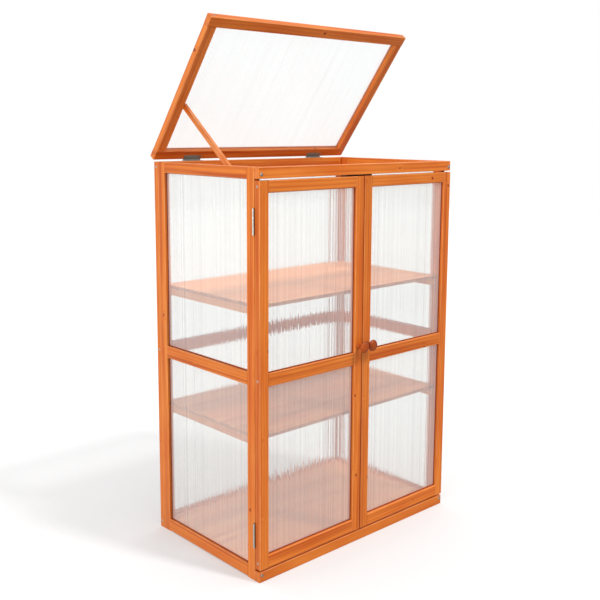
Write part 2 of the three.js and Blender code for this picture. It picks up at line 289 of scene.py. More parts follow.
def vector_calc(tree, operation, *values):
    inputs = dict(enumerate(values))
    made = node(tree, "ShaderNodeVectorMath", inputs, operation=operation)
    is_number = operation in ("LENGTH", "DISTANCE", "DOT_PRODUCT")
    return made.outputs["Value" if is_number else "Vector"]


def ranged(tree, value, low, high, to_low=0.0, to_high=1.0, smooth=False):
    """Brings a number from one range into another and clamps it."""
    inputs = {"Value": value, "From Min": low, "From Max": high, "To Min": to_low, "To Max": to_high}
    kind = "SMOOTHSTEP" if smooth else "LINEAR"
    return node(tree, "ShaderNodeMapRange", inputs, interpolation_type=kind).outputs["Result"]


def blended(tree, factor, first, second, kind="MIX"):
    """Mixes two colours."""
    inputs = {0: factor, 6: first, 7: second}
    return node(tree, "ShaderNodeMix", inputs, data_type="RGBA", blend_type=kind).outputs[2]


def noise(tree, place, scale, detail, output="Fac"):
    """Noise at a place in metres, with its own scale along each axis."""
    scaled = vector_calc(tree, "MULTIPLY", place, scale)
    inputs = {"Vector": scaled, "Scale": 1.0, "Detail": detail}
    return node(tree, "ShaderNodeTexNoise", inputs).outputs[output]


def vector(tree, x=0.0, y=0.0, z=0.0):
    return node(tree, "ShaderNodeCombineXYZ", {0: x, 1: y, 2: z}).outputs[0]


def grey(tree, level):
    """A colour whose three channels are the same number."""
    return node(tree, "ShaderNodeCombineColor", {0: level, 1: level, 2: level}).outputs[0]


def rgba(values):
    return (*values, 1)


def new_group(name, inputs, outputs, kind="ShaderNodeTree"):
    """A node group with the named sockets: name to (socket type, default or None)."""
    group = bpy.data.node_groups.new(name, kind)
    for direction, sockets in (("INPUT", inputs), ("OUTPUT", outputs)):
        for label, (socket_kind, default) in sockets.items():
            made = group.interface.new_socket(
                label, in_out=direction, socket_type=f"NodeSocket{socket_kind}"
            )
            if default is not None:
                made.default_value = default
    return group, group.nodes.new("NodeGroupInput").outputs, group.nodes.new("NodeGroupOutput")


def use(tree, group, inputs):
    """Places a node group in a material's tree."""
    return node(tree, "ShaderNodeGroup", inputs, node_tree=group).outputs


# Material effects that several finishes share


def grain_group():
    """Softwood under stain: year rings round a pith, fibres, knots and a slow change of tone."""
    colours = {"Pale": ("Color", None), "Stain": ("Color", None), "Deep": ("Color", None)}
    group, given, out = new_group(
        "Stained grain",
        {
            "Grain": ("Vector", None),
            **colours,
            "Tone": ("Float", 0.0),
            "Ring spacing": ("Float", 8.5 * MM),
            "Ring strength": ("Float", 0.5),
            "Knot radius": ("Float", 3.4 * MM),
        },
        {"Color": ("Color", None), "Roughness": ("Float", None), "Height": ("Float", None)},
    )
    swelling, late_power = 1.7, 1.8
    streak_share, fibre_share, tone_reach = 0.5, 0.16, 0.07
    polish, fibre_roughness, knot_roughness = 0.36, 0.16, -0.1
    late_height, fibre_height = 0.5, 0.7
    grain = given["Grain"]
    bends = noise(group, grain, GRAIN_BENDS, detail=2, output="Color")
    centred = vector_calc(group, "SUBTRACT", bends, (0.5, 0.5, 0.5))
    bent = vector_calc(group, "ADD", grain, vector_calc(group, "MULTIPLY", centred, BEND))

    # Knots: the nearest of a few scattered branches, each of which runs through the batten
    cells = vector_calc(group, "MULTIPLY", grain, KNOT_CELLS)
    scattered = node(group, "ShaderNodeTexVoronoi", {"Vector": cells, "Scale": 1.0})
    centre = vector_calc(group, "DIVIDE", scattered.outputs["Position"], KNOT_CELLS)
    away = vector_calc(group, "SUBTRACT", grain, centre)
    distance = vector_calc(group, "LENGTH", vector_calc(group, "MULTIPLY", away, KNOT_SHAPE))
    luck = node(group, "ShaderNodeSeparateColor", {0: scattered.outputs["Color"]}).outputs[0]
    chosen = calc(group, "GREATER_THAN", luck, KNOTLESS)
    radius = given["Knot radius"]
    knot_end = calc(group, "MULTIPLY", radius, 1.3)
    knot = calc(group, "MULTIPLY", chosen, ranged(group, distance, knot_end, radius, smooth=True))
    swirl_end = calc(group, "MULTIPLY", radius, 4.5)
    swirl = calc(group, "MULTIPLY", chosen, ranged(group, distance, swirl_end, radius, smooth=True))

    # Year rings, which swell round a knot. Late wood is dark.
    across = vector_calc(group, "LENGTH", vector_calc(group, "MULTIPLY", bent, (0, 1, 1)))
    rings = calc(group, "DIVIDE", across, given["Ring spacing"])
    swollen = calc(group, "MULTIPLY_ADD", swirl, swelling, rings)
    swing = calc(group, "PINGPONG", calc(group, "MULTIPLY", swollen, 2.0), 1.0)
    late = calc(group, "POWER", swing, late_power)
    fibre = noise(group, grain, FIBRES, detail=2)
    streak = noise(group, grain, STREAKS, detail=2)
    cloud = noise(group, grain, CLOUDS, detail=2)

    body = blended(group, ranged(group, cloud, 0.32, 0.68), given["Pale"], given["Stain"])
    ringed = calc(group, "MULTIPLY", late, given["Ring strength"])
    streaks = ranged(group, streak, 0.44, 0.74, smooth=True)
    streaked = calc(group, "MULTIPLY", streaks, streak_share)
    lined = calc(group, "MULTIPLY_ADD", fibre, fibre_share, streaked)
    dark = calc(group, "ADD", ringed, lined, clamp=True)
    coloured = blended(group, dark, body, given["Deep"])
    shade = calc(group, "MULTIPLY_ADD", given["Tone"], tone_reach, 1.0)
    toned = blended(group, 1.0, coloured, grey(group, shade), kind="MULTIPLY")
    burnt = blended(group, 1.0, given["Deep"], KNOT_DARKENING, kind="MULTIPLY")
    knotted = blended(group, knot, toned, burnt)
    group.links.new(knotted, out.inputs["Color"])
    rough = calc(group, "MULTIPLY_ADD", fibre, fibre_roughness, polish)
    smoothed = calc(group, "MULTIPLY_ADD", knot, knot_roughness, rough)
    group.links.new(smoothed, out.inputs["Roughness"])
    fibres = calc(group, "MULTIPLY", fibre, fibre_height)
    hill = calc(group, "MULTIPLY_ADD", late, late_height, fibres)
    group.links.new(hill, out.inputs["Height"])
    return group


def rubbed_group():
    """Edges that are rubbed pale, unevenly along their length."""
    group, given, out = new_group(
        "Rubbed edges",
        {
            "Color": ("Color", None),
            "Rubbed": ("Color", None),
            "Rim": ("Float", 0.0),
            "Wear": ("Float", 0.5),
            "Place": ("Vector", None),
        },
        {"Color": ("Color", None)},
    )
    patches = noise(group, given["Place"], RUBBED_PATCHES, detail=3)
    patchy = ranged(group, patches, 0.36, 0.62, 0.35, 1.0)
    worn = calc(group, "MULTIPLY", calc(group, "MULTIPLY", given["Rim"], patchy), given["Wear"])
    mixed = blended(group, worn, given["Color"], given["Rubbed"])
    group.links.new(mixed, out.inputs["Color"])
    return group


def dust_group():
    """A faint film of dust that gathers in soft patches."""
    group, given, out = new_group(
        "Dust film",
        {
            "Color": ("Color", None),
            "Dust": ("Color", None),
            "Place": ("Vector", None),
            "Amount": ("Float", 0.1),
        },
        {"Color": ("Color", None)},
    )
    patches = noise(group, given["Place"], DUST_PATCHES, detail=4)
    mask = calc(group, "MULTIPLY", ranged(group, patches, 0.4, 0.75), given["Amount"])
    mixed = blended(group, mask, given["Color"], given["Dust"])
    group.links.new(mixed, out.inputs["Color"])
    return group


def flute_group():
    """Pale and grey lines along an extruded sheet, a finer one at each rib, with painted shade along the groove
    and a painted glow.
    """
    group, given, out = new_group(
        "Extruded flutes",
        {
            "Flute": ("Vector", None),
            "Clear": ("Color", None),
            "Rib": ("Color", None),
            "Pitch": ("Float", 5.5 * MM),
            "Streaks": ("Float", 0.5),
            "Border": ("Vector", None),
            "Seam": ("Color", None),
            "Seam end": ("Float", 10 * MM),
        },
        {"Color": ("Color", None), "Glow": ("Color", None), "Height": ("Float", None)},
    )
    parts = node(group, "ShaderNodeSeparateXYZ", {0: given["Flute"]}).outputs

    # Place across the sheet, and so little of the place along it that the lines run nearly straight
    column = vector(group, parts[0], calc(group, "MULTIPLY", parts[1], 0.01))
    fine = noise(group, column, FINE_LINES, detail=2)
    waves = noise(group, column, SHEET_WAVES, detail=1)
    broad = noise(group, column, BROAD_LINES, detail=1)
    swing = calc(group, "PINGPONG", calc(group, "DIVIDE", parts[0], given["Pitch"]), 0.5)
    rib = ranged(group, swing, 0.16, 0.0)
    rib_share, line_share = 0.4, 0.6
    fine_lines = ranged(group, fine, 0.5, 0.64, 0, line_share)
    lines = calc(group, "MULTIPLY_ADD", rib, rib_share, fine_lines)
    bands = ranged(group, broad, 0.4, 0.62, 0.12, 0.9)
    mask = calc(group, "MULTIPLY", lines, bands, clamp=True)
    ribbed = blended(group, mask, given["Clear"], given["Rib"])

    # Painted shade along the groove, from how far each place is from the sheet's four edges
    borders = node(group, "ShaderNodeSeparateXYZ", {0: given["Border"]}).outputs
    from_border = calc(group, "MINIMUM", calc(group, "MINIMUM", borders[0], borders[1]), borders[2])
    inside = calc(group, "SUBTRACT", from_border, given["Seam end"])
    blur = 0.5 * MM
    seam = ranged(group, inside, 0.0, -blur)
    group.links.new(blended(group, seam, ribbed, given["Seam"]), out.inputs["Color"])

    # Each column glows with its own share of painted light, and the painted shade along the groove glows not at
    # all
    bright = noise(group, column, GLOW_LINES, detail=2)
    streak = calc(group, "SUBTRACT", ranged(group, bright, 0.4, 0.62), 0.5)
    even = calc(group, "MULTIPLY_ADD", streak, given["Streaks"], 0.5)
    glow_level = calc(group, "MULTIPLY", even, calc(group, "SUBTRACT", 1.0, seam))
    group.links.new(grey(group, glow_level), out.inputs["Glow"])
    group.links.new(waves, out.inputs["Height"])
    return group


def new_material(name):
    """A material with an empty tree, its Principled shader and its output."""
    made = bpy.data.materials.new(name)
    made.use_nodes = True
    tree = made.node_tree
    tree.nodes.clear()
    shader = node(tree, "ShaderNodeBsdfPrincipled")
    out = node(tree, "ShaderNodeOutputMaterial", {"Surface": shader.outputs[0]})
    return made, tree, shader, out


def marked(tree, name, output):
    return node(tree, "ShaderNodeAttribute", attribute_name=name).outputs[output]


def raised(tree, shader, height, distance, strength=1.0):
    """Feeds a height to the shader's normal."""
    bump = node(
        tree, "ShaderNodeBump", {"Height": height, "Distance": distance, "Strength": strength}
    )
    tree.links.new(bump.outputs[0], shader.inputs["Normal"])


def wood_material(name, groups, look, tones, rings, coat, coat_roughness=0.35):
    """Stained wood. Its grain, rim and tone come from what mark_wood writes on each piece."""
    pale, stain, deep = tones
    made, tree, shader, _ = new_material(name)
    grain = marked(tree, "grain", "Vector")
    wood = use(
        tree,
        groups["grain"],
        {
            "Grain": grain,
            "Pale": rgba(pale),
            "Stain": rgba(stain),
            "Deep": rgba(deep),
            "Tone": marked(tree, "tone", "Fac"),
            "Ring spacing": look.ring_spacing,
            "Ring strength": rings,
            "Knot radius": look.knot_radius,
        },
    )
    # Painted shade on the edges and underside of the shelf boards
    edge_shaded = blended(tree, marked(tree, "edge", "Fac"), wood["Color"], rgba(look.shelf_shade))
    rubbed = use(
        tree,
        groups["rubbed"],
        {
            "Color": edge_shaded,
            "Rubbed": rgba(look.rubbed),
            "Rim": marked(tree, "rim", "Fac"),
            "Wear": look.wear,
            "Place": grain,
        },
    )
    tree.links.new(rubbed["Color"], shader.inputs["Base Color"])
    tree.links.new(wood["Roughness"], shader.inputs["Roughness"])
    shader.inputs["Specular IOR Level"].default_value = 0.22
    shader.inputs["Coat Weight"].default_value = coat
    shader.inputs["Coat Roughness"].default_value = coat_roughness
    raised(tree, shader, wood["Height"], distance=0.12 * MM, strength=0.6)
    return made


def sheet_material(name, groups, look, clear, rib, streaks, scatter, groove_shade_width):
    """Fluted sheet: part of the light goes through each face, and the rest makes a white veil.

    Light on its way to a matt surface goes straight through, and loses less where it is soft.
    """
    soft_share, lamp_share = 0.96, 0.6
    made, tree, shader, out = new_material(name)
    flutes = use(
        tree,
        groups["flute"],
        {
            "Flute": marked(tree, "flute", "Vector"),
            "Clear": rgba(clear),
            "Rib": rgba(rib),
            "Pitch": look.pitch,
            "Streaks": streaks,
            "Border": marked(tree, "border", "Vector"),
            "Seam": rgba(look.seam),
            "Seam end": SHEET_TUCK + groove_shade_width,
        },
    )
    tree.links.new(flutes["Color"], shader.inputs["Base Color"])
    shader.inputs["Transmission Weight"].default_value = look.see_through
    shader.inputs["Roughness"].default_value = look.roughness
    shader.inputs["IOR"].default_value = 1.3
    # Painted light: the sheet glows a little, column by column, as if lit through from behind
    tree.links.new(flutes["Glow"], shader.inputs["Emission Color"])
    shader.inputs["Emission Strength"].default_value = scatter
    made.cycles.emission_sampling = "NONE"
    raised(tree, shader, flutes["Height"], look.unevenness)
    path = node(tree, "ShaderNodeLightPath").outputs
    straight = calc(tree, "MAXIMUM", path["Is Shadow Ray"], path["Is Diffuse Ray"])
    level = ranged(tree, path["Is Shadow Ray"], 0.0, 1.0, soft_share, lamp_share)
    through = node(tree, "ShaderNodeBsdfTransparent", {0: grey(tree, level)})
    mixed = node(
        tree, "ShaderNodeMixShader", {0: straight, 1: shader.outputs[0], 2: through.outputs[0]}
    )
    tree.links.new(mixed.outputs[0], out.inputs["Surface"])
    return made


def steel_material(groups, look):
    """Bright zinc plating, a little cloudy and finely scratched."""
    made, tree, shader, _ = new_material("Zinc-plated steel")
    place = node(tree, "ShaderNodeTexCoord").outputs["Object"]
    cloud = noise(tree, place, PLATING_CLOUDS, detail=3)
    scratch = noise(tree, place, PLATING_SCRATCHES, detail=2)
    cloudy = ranged(tree, cloud, 0.3, 0.75)
    dull = blended(tree, cloudy, rgba(look.steel), rgba(look.dull_steel))
    film = use(
        tree,
        groups["dust"],
        {"Color": dull, "Dust": rgba(look.dust), "Place": place, "Amount": 0.12},
    )
    tree.links.new(film["Color"], shader.inputs["Base Color"])
    shader.inputs["Metallic"].default_value = 1.0
    rough = ranged(tree, cloud, 0.3, 0.75, 0.24, 0.42)
    tree.links.new(rough, shader.inputs["Roughness"])
    raised(tree, shader, scratch, distance=0.02 * MM, strength=0.4)
    return made


def plastic_material(groups, look):
    """Black moulded plastic with a fine texture."""
    made, tree, shader, _ = new_material("Black moulded plastic")
    place = node(tree, "ShaderNodeTexCoord").outputs["Object"]
    speck = noise(tree, place, MOULD_SPECKS, detail=2)
    film = use(
        tree,
        groups["dust"],
        {"Color": rgba(look.plastic), "Dust": rgba(look.dust), "Place": place, "Amount": 0.1},
    )
    tree.links.new(film["Color"], shader.inputs["Base Color"])
    tree.links.new(ranged(tree, speck, 0.3, 0.7, 0.42, 0.58), shader.inputs["Roughness"])
    raised(tree, shader, speck, distance=0.05 * MM, strength=0.5)
    return made


MATERIALS = {}


def make_materials(scene):
    """Every finish, made once."""
    if MATERIALS:
        return MATERIALS
    groups = {
        "grain": grain_group(),
        "rubbed": rubbed_group(),
        "dust": dust_group(),
        "flute": flute_group(),
    }
    wood = scene.greenhouse_wood
    batten_tones = (wood.pale, wood.stain, wood.deep)
    shelf_tones = (wood.shelf_pale, wood.shelf_stain, wood.shelf_deep)
    knob_tones = (wood.knob_pale, wood.knob, wood.knob)
    MATERIALS["wood"] = wood_material(
        "Orange-stained softwood", groups, wood, batten_tones, rings=0.34, coat=0.12
    )
    MATERIALS["shelf"] = wood_material(
        "Stained shelf board", groups, wood, shelf_tones, rings=0.3, coat=0.05
    )
    MATERIALS["turned"] = wood_material(
        "Turned end grain", groups, wood, knob_tones, rings=0.3, coat=0.25, coat_roughness=0.1
    )
    sheet = scene.greenhouse_sheet
    MATERIALS["sheet"] = sheet_material(
        "Fluted twin-wall sheet",
        groups,
        sheet,
        clear=sheet.clear,
        rib=sheet.rib,
        streaks=sheet.streaks,
        scatter=sheet.scatter,
        groove_shade_width=sheet.groove_shade_width,
    )
    # The same sheet for the lid, with whiter colours and more painted glow
    MATERIALS["lid_sheet"] = sheet_material(
        "Fluted sheet of the lid",
        groups,
        sheet,
        clear=sheet.lid_brightened_clear,
        rib=sheet.lid_brightened_rib,
        streaks=0.0,
        scatter=sheet.lid_painted_glow,
        groove_shade_width=0.0,
    )
    MATERIALS["steel"] = steel_material(groups, scene.greenhouse_fittings)
    MATERIALS["plastic"] = plastic_material(groups, scene.greenhouse_fittings)
    return MATERIALS


# Where things are


def lid_frame():
    """Turns the shut lid to the open one that is packed."""
    hinge = JOINTS["lid_hinge"]
    opening = math.radians(hinge["range_deg"][0])
    axis = Matrix.Translation(hinge["pos_m"])
    return axis @ Matrix.Rotation(opening, 4, "X") @ axis.inverted()


def stick_frame():
    """Places the stick, which lies along -y from its pivot in its own frame."""
    pivot = Vector(JOINTS["prop_pivot"]["pos_m"])
    points = [v.co for v in NODES["lid_prop"].data.vertices]
    end = min(p.x for p in points)
    tip = [p for p in points if p.x < end + 0.1 * MM]
    foot = sum(tip, Vector()) / len(tip)
    slope = math.atan2(pivot.z - foot.z, pivot.y - foot.y)
    return Matrix.Translation(pivot) @ Matrix.Rotation(slope, 4, "X")


OWN_FRAMES = {"lid": lid_frame(), "prop": stick_frame()}


def own_frame(body):
    return OWN_FRAMES.get(body, Matrix.Identity(4))


def extremes(points):
    """Lowest and highest corner of the box round some points."""
    return [Vector([pick(p[axis] for p in points) for axis in range(3)]) for pick in (min, max)]


def own_box(name):
    """Lowest and highest corner of a node in its body's own frame."""
    back = own_frame(BODY_OF[name]).inverted()
    return extremes([back @ v.co for v in NODES[name].data.vertices])


# Meshes


def islands(mesh):
    """For each vertex, the number of the closed body that it belongs to."""
    parent = list(range(len(mesh.vertices)))

    def root(index):
        while parent[index] != index:
            parent[index] = parent[parent[index]]
            index = parent[index]
        return index

    for edge in mesh.edges:
        first, second = (root(v) for v in edge.vertices)
        parent[max(first, second)] = min(first, second)
    roots = [root(index) for index in range(len(parent))]
    numbers = {value: number for number, value in enumerate(sorted(set(roots)))}
    return np.array([numbers[value] for value in roots])


def points_of(mesh):
    flat = np.empty(len(mesh.vertices) * 3)
    mesh.vertices.foreach_get("co", flat)
    return flat.reshape(-1, 3)


def mark_wood(mesh, name, own=None, along=None, eased=EASED_EDGE):
    """Writes what the wood materials read: grain, rim and tone.

    Grain is the place in metres, along the fibres first, in a log whose pith lies off the batten.
    Rim is 1 on an eased edge. Tone sets each piece a little lighter or darker than the next.
    """
    back = np.array((own or Matrix.Identity(4)).inverted())
    points = points_of(mesh) @ back[:3, :3].T + back[:3, 3]
    body = islands(mesh)
    grain = np.zeros((len(points), 3))
    rim = np.zeros(len(points))
    tone = np.zeros(len(points))
    for number in range(body.max() + 1):
        mine = body == number
        luck = random.Random(f"{name} {number}")
        low, high = points[mine].min(0), points[mine].max(0)
        order = sorted(range(3), key=lambda axis: low[axis] - high[axis])
        if along is not None:
            order = [along] + [axis for axis in order if axis != along]
        centred = (points[mine] - (low + high) / 2)[:, order]
        half = ((high - low) / 2)[order]
        pith = luck.uniform(0.03, 0.075)
        turn = luck.uniform(0, 2 * math.pi)
        shift = (luck.uniform(1, 30), pith * math.cos(turn), pith * math.sin(turn))
        grain[mine] = centred + shift
        inset = (half - np.abs(centred))[:, 1:].max(1)
        rim[mine] = np.clip((eased * 1.2 - inset) / (eased * 0.3), 0, 1)
        tone[mine] = luck.uniform(-1, 1)
    mesh.attributes.new("grain", "FLOAT_VECTOR", "POINT").data.foreach_set("vector", grain.ravel())
    mesh.attributes.new("rim", "FLOAT", "POINT").data.foreach_set("value", rim)
    mesh.attributes.new("tone", "FLOAT", "POINT").data.foreach_set("value", tone)


def mesh_from(bm):
    mesh = bpy.data.meshes.new("piece")
    bm.to_mesh(mesh)
    bm.free()
    return mesh


def joined_mesh(*meshes):
    """One mesh that holds the closed bodies of several."""
    bm = bmesh.new()
    for mesh in meshes:
        bm.from_mesh(mesh)
        bpy.data.meshes.remove(mesh)
    return mesh_from(bm)


def link_object(name, data):
    made = bpy.data.objects.new(name, data)
    bpy.context.scene.collection.objects.link(made)
    return made


def evaluated_mesh(carrier):
    """The carrier's mesh with its modifiers, and the carrier is removed."""
    graph = bpy.context.evaluated_depsgraph_get()
    mesh = bpy.data.meshes.new_from_object(
        carrier.evaluated_get(graph), preserve_all_data_layers=True, depsgraph=graph
    )
    old = carrier.data
    carrier.modifiers.clear()
    bpy.data.objects.remove(carrier)
    if old.users == 0 and isinstance(old, bpy.types.Mesh):
        bpy.data.meshes.remove(old)
    return mesh


def softened(mesh, sharp_degrees=32):
    """Smooth shading that keeps flat faces flat."""
    mesh.polygons.foreach_set("use_smooth", [True] * len(mesh.polygons))
    mesh.set_sharp_from_angle(angle=math.radians(sharp_degrees))
    carrier = link_object("carrier", mesh)
    modifier = carrier.modifiers.new("Even", "WEIGHTED_NORMAL")
    modifier.keep_sharp = True
    return evaluated_mesh(carrier)


def grown(tree, inputs, source=None):
    """Runs a shape tree and returns its result as a plain mesh."""
    carrier = link_object("carrier", source or bpy.data.meshes.new("carrier"))
    modifier = carrier.modifiers.new("Shape", "NODES")
    modifier.node_group = tree
    for item in tree.interface.items_tree:
        if item.in_out == "INPUT" and item.name in inputs:
            modifier[item.identifier] = inputs[item.name]
    return evaluated_mesh(carrier)


def show(name, mesh, material, body, nodes=()):
    """Makes a finished piece that rides on a body and may stand for CAD nodes."""
    mesh.name = name
    mesh.materials.clear()
    mesh.materials.append(material)
    piece = link_object(name, mesh)
    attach(piece, body)
    if nodes:
        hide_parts(*nodes)
    return piece


def merged_copy(name):
    """A CAD node's shape with its loose triangles joined into whole faces."""
    bm = bmesh.new()
    bm.from_mesh(NODES[name].data)
    bmesh.ops.remove_doubles(bm, verts=bm.verts[:], dist=0.002 * MM)
    bmesh.ops.dissolve_limit(
        bm, angle_limit=math.radians(0.5), verts=bm.verts[:], edges=bm.edges[:]
    )
    return bm


def round_edges(bm, radius, least_degrees=25):
    """Rounds every edge that turns by more than the given angle."""
    turning = [
        edge
        for edge in bm.edges
        if edge.is_manifold and edge.calc_face_angle() > math.radians(least_degrees)
    ]
    bmesh.ops.bevel(
        bm,
        geom=turning,
        offset=radius,
        offset_type="OFFSET",
        segments=2,
        profile=0.5,
        affect="EDGES",
        clamp_overlap=True,
    )
    return bm


def circle(centre, radius, count):
    turns = [2 * math.pi * step / count for step in range(count)]
    return [(centre[0] + radius * math.cos(t), centre[1] + radius * math.sin(t)) for t in turns]


def turned(profile, sides):
    """A body of revolution round z. The profile is (radius, height), from the low pole to the high."""
    bm = bmesh.new()
    rows = []
    for radius, height in profile:
        if radius == 0:
            rows.append([bm.verts.new((0, 0, height))])
        else:
            places = [(x, y, height) for x, y in circle((0, 0), radius, sides)]
            rows.append([bm.verts.new(place) for place in places])
    for lower, upper in zip(rows, rows[1:]):
        for step in range(sides):
            ring = [
                lower[step % len(lower)],
                lower[(step + 1) % len(lower)],
                upper[(step + 1) % len(upper)],
                upper[step % len(upper)],
            ]
            bm.faces.new(list(dict.fromkeys(ring)))
    return mesh_from(bm)


def along_axes(place, x_axis, y_axis, z_axis):
    """The matrix whose own axes run along the given directions."""
    columns = [Vector(axis).to_4d() for axis in (x_axis, y_axis, z_axis)]
    for column in columns:
        column.w = 0
    return Matrix((*columns, Vector(place).to_4d())).transposed()


def facing(place, direction):
    """The matrix that turns a thing's own z to a direction."""
    z_axis = Vector(direction).normalized()
    helper = UP if abs(z_axis.dot(UP)) < 0.9 else FRONT
    x_axis = helper.cross(z_axis).normalized()
    return along_axes(place, x_axis, z_axis.cross(x_axis), z_axis)


def bar(low, high, rounding):
    """A box between two corners with rounded edges."""
    bm = bmesh.new()
    bmesh.ops.create_cube(bm, size=1)
    low, high = Vector(low), Vector(high)
    size = high - low
    bmesh.ops.scale(bm, vec=size, verts=bm.verts[:])
    bmesh.ops.translate(bm, vec=(low + high) / 2, verts=bm.verts[:])
    return mesh_from(round_edges(bm, rounding))


def cut(mesh, tool):
    """The first mesh less the second."""
    carrier = link_object("carrier", mesh)
    cutter = link_object("cutter", tool)
    modifier = carrier.modifiers.new("Cut", "BOOLEAN")
    modifier.operation = "DIFFERENCE"
    modifier.solver = "EXACT"
    modifier.object = cutter
    result = evaluated_mesh(carrier)
    bpy.data.objects.remove(cutter)
    bpy.data.meshes.remove(tool)
    return result


def moved(mesh, matrix):
    mesh.transform(matrix)
    return mesh


# Shape trees


def smooth_by_angle(tree, geometry):
    """Smooth faces with sharp edges where the surface turns."""
    sharp_degrees = 35
    smooth = node(tree, "GeometryNodeSetShadeSmooth", {"Geometry": geometry}, domain="FACE")
    angle = node(tree, "GeometryNodeInputMeshEdgeAngle").outputs[0]
    turning = node(
        tree,
        "FunctionNodeCompare",
        {0: angle, 1: math.radians(sharp_degrees)},
        data_type="FLOAT",
        operation="GREATER_THAN",
    ).outputs[0]
    return node(
        tree,
        "GeometryNodeSetShadeSmooth",
        {"Geometry": smooth.outputs[0], "Selection": turning, "Shade Smooth": False},
        domain="EDGE",
    ).outputs[0]


def stored(tree, geometry, name, value):
    """Writes a vector on every point under a name."""
    inputs = {"Geometry": geometry, "Name": name, "Value": value}
    return node(
        tree,
        "GeometryNodeStoreNamedAttribute",
        inputs,
        data_type="FLOAT_VECTOR",
        domain="POINT",
    ).outputs[0]


def end_tree(tree, out, geometry, material):
    real = node(tree, "GeometryNodeRealizeInstances", {0: geometry}).outputs[0]
    last = node(tree, "GeometryNodeSetMaterial", {"Geometry": real, "Material": material})
    tree.links.new(last.outputs[0], out.inputs["Geometry"])


def sheet_tree():
    """A sheet whose two faces sink in a little between every two ribs."""
    tree, given, out = new_group(
        "Fluted sheet",
        {
            "Width": ("Float", 0.3),
            "Height": ("Float", 0.4),
            "Thickness": ("Float", 4 * MM),
            "Pitch": ("Float", 5.5 * MM),
            "Hollow": ("Float", 0.3 * MM),
            "Steps": ("Int", 8),
            "Seed": ("Int", 1),
            "Material": ("Material", None),
        },
        {"Geometry": ("Geometry", None)},
        "GeometryNodeTree",
    )
    flutes = calc(tree, "ROUND", calc(tree, "DIVIDE", given["Width"], given["Pitch"]))
    columns = calc(tree, "MULTIPLY_ADD", flutes, given["Steps"], 1)
    size = vector(tree, given["Width"], given["Thickness"], given["Height"])
    slab = node(tree, "GeometryNodeMeshCube", {"Size": size, "Vertices X": columns})
    place = node(tree, "GeometryNodeInputPosition").outputs[0]
    parts = node(tree, "ShaderNodeSeparateXYZ", {0: place}).outputs
    half = calc(tree, "MULTIPLY", given["Width"], 0.5)
    from_edge = calc(tree, "ADD", parts[0], half)
    turns = calc(tree, "DIVIDE", calc(tree, "MULTIPLY", from_edge, flutes), given["Width"])
    number = calc(tree, "FLOOR", calc(tree, "ADD", turns, 0.001))
    luck = node(
        tree,
        "FunctionNodeRandomValue",
        {2: 0.35, 3: 1.0, "ID": number, "Seed": given["Seed"]},
        data_type="FLOAT",
    ).outputs[1]
    wave = calc(tree, "COSINE", calc(tree, "MULTIPLY", turns, 2 * math.pi))
    dip = calc(tree, "MULTIPLY", calc(tree, "SUBTRACT", 1.0, wave), 0.5)
    depth = calc(tree, "MULTIPLY", calc(tree, "MULTIPLY", dip, luck), given["Hollow"])
    inward = calc(tree, "MULTIPLY", depth, calc(tree, "SIGN", parts[1]))
    offset = vector(tree, y=calc(tree, "MULTIPLY", inward, -1.0))
    hollowed = node(
        tree, "GeometryNodeSetPosition", {"Geometry": slab.outputs[0], "Offset": offset}
    )
    flute = vector(tree, from_edge, parts[2])
    marked_flutes = stored(tree, hollowed.outputs[0], "flute", flute)
    half_height = calc(tree, "MULTIPLY", given["Height"], 0.5)
    border = vector(
        tree,
        calc(tree, "SUBTRACT", half, calc(tree, "ABSOLUTE", parts[0])),
        calc(tree, "ADD", half_height, parts[2]),
        calc(tree, "SUBTRACT", half_height, parts[2]),
    )
    marked_borders = stored(tree, marked_flutes, "border", border)
    end_tree(tree, out, smooth_by_angle(tree, marked_borders), given["Material"])
    return tree


def strip_tree():
    """Rounded strips side by side: the boards of a shelf, or one bar."""
    tree, given, out = new_group(
        "Rounded strips",
        {
            "Length": ("Float", 0.7),
            "Width": ("Float", 0.42),
            "Thickness": ("Float", 10 * MM),
            "Strips": ("Int", 5),
            "Rounding": ("Float", 0.6 * MM),
            "Material": ("Material", None),
        },
        {"Geometry": ("Geometry", None)},
        "GeometryNodeTree",
    )
    strip = calc(tree, "DIVIDE", given["Width"], given["Strips"])
    section = node(
        tree,
        "GeometryNodeCurvePrimitiveQuadrilateral",
        {"Width": strip, "Height": given["Thickness"]},
    )
    rounded = node(
        tree,
        "GeometryNodeFilletCurve",
        {"Curve": section.outputs[0], "Radius": given["Rounding"], "Count": 2, "Limit Radius": True},
        mode="POLY",
    )
    half = calc(tree, "MULTIPLY", given["Length"], 0.5)
    start = vector(tree, z=calc(tree, "MULTIPLY", half, -1.0))
    end = vector(tree, z=half)
    spine = node(tree, "GeometryNodeCurvePrimitiveLine", {"Start": start, "End": end})
    swept = node(
        tree,
        "GeometryNodeCurveToMesh",
        {"Curve": spine.outputs[0], "Profile Curve": rounded.outputs[0], "Fill Caps": True},
    )
    first = calc(tree, "MULTIPLY", calc(tree, "SUBTRACT", strip, given["Width"]), 0.5)
    row = node(
        tree,
        "GeometryNodeMeshLine",
        {
            "Count": given["Strips"],
            "Start Location": vector(tree, x=first),
            "Offset": vector(tree, x=strip),
        },
    )
    placed = node(
        tree, "GeometryNodeInstanceOnPoints", {"Points": row.outputs[0], "Instance": swept.outputs[0]}
    )
    end_tree(tree, out, placed.outputs[0], given["Material"])
    return tree


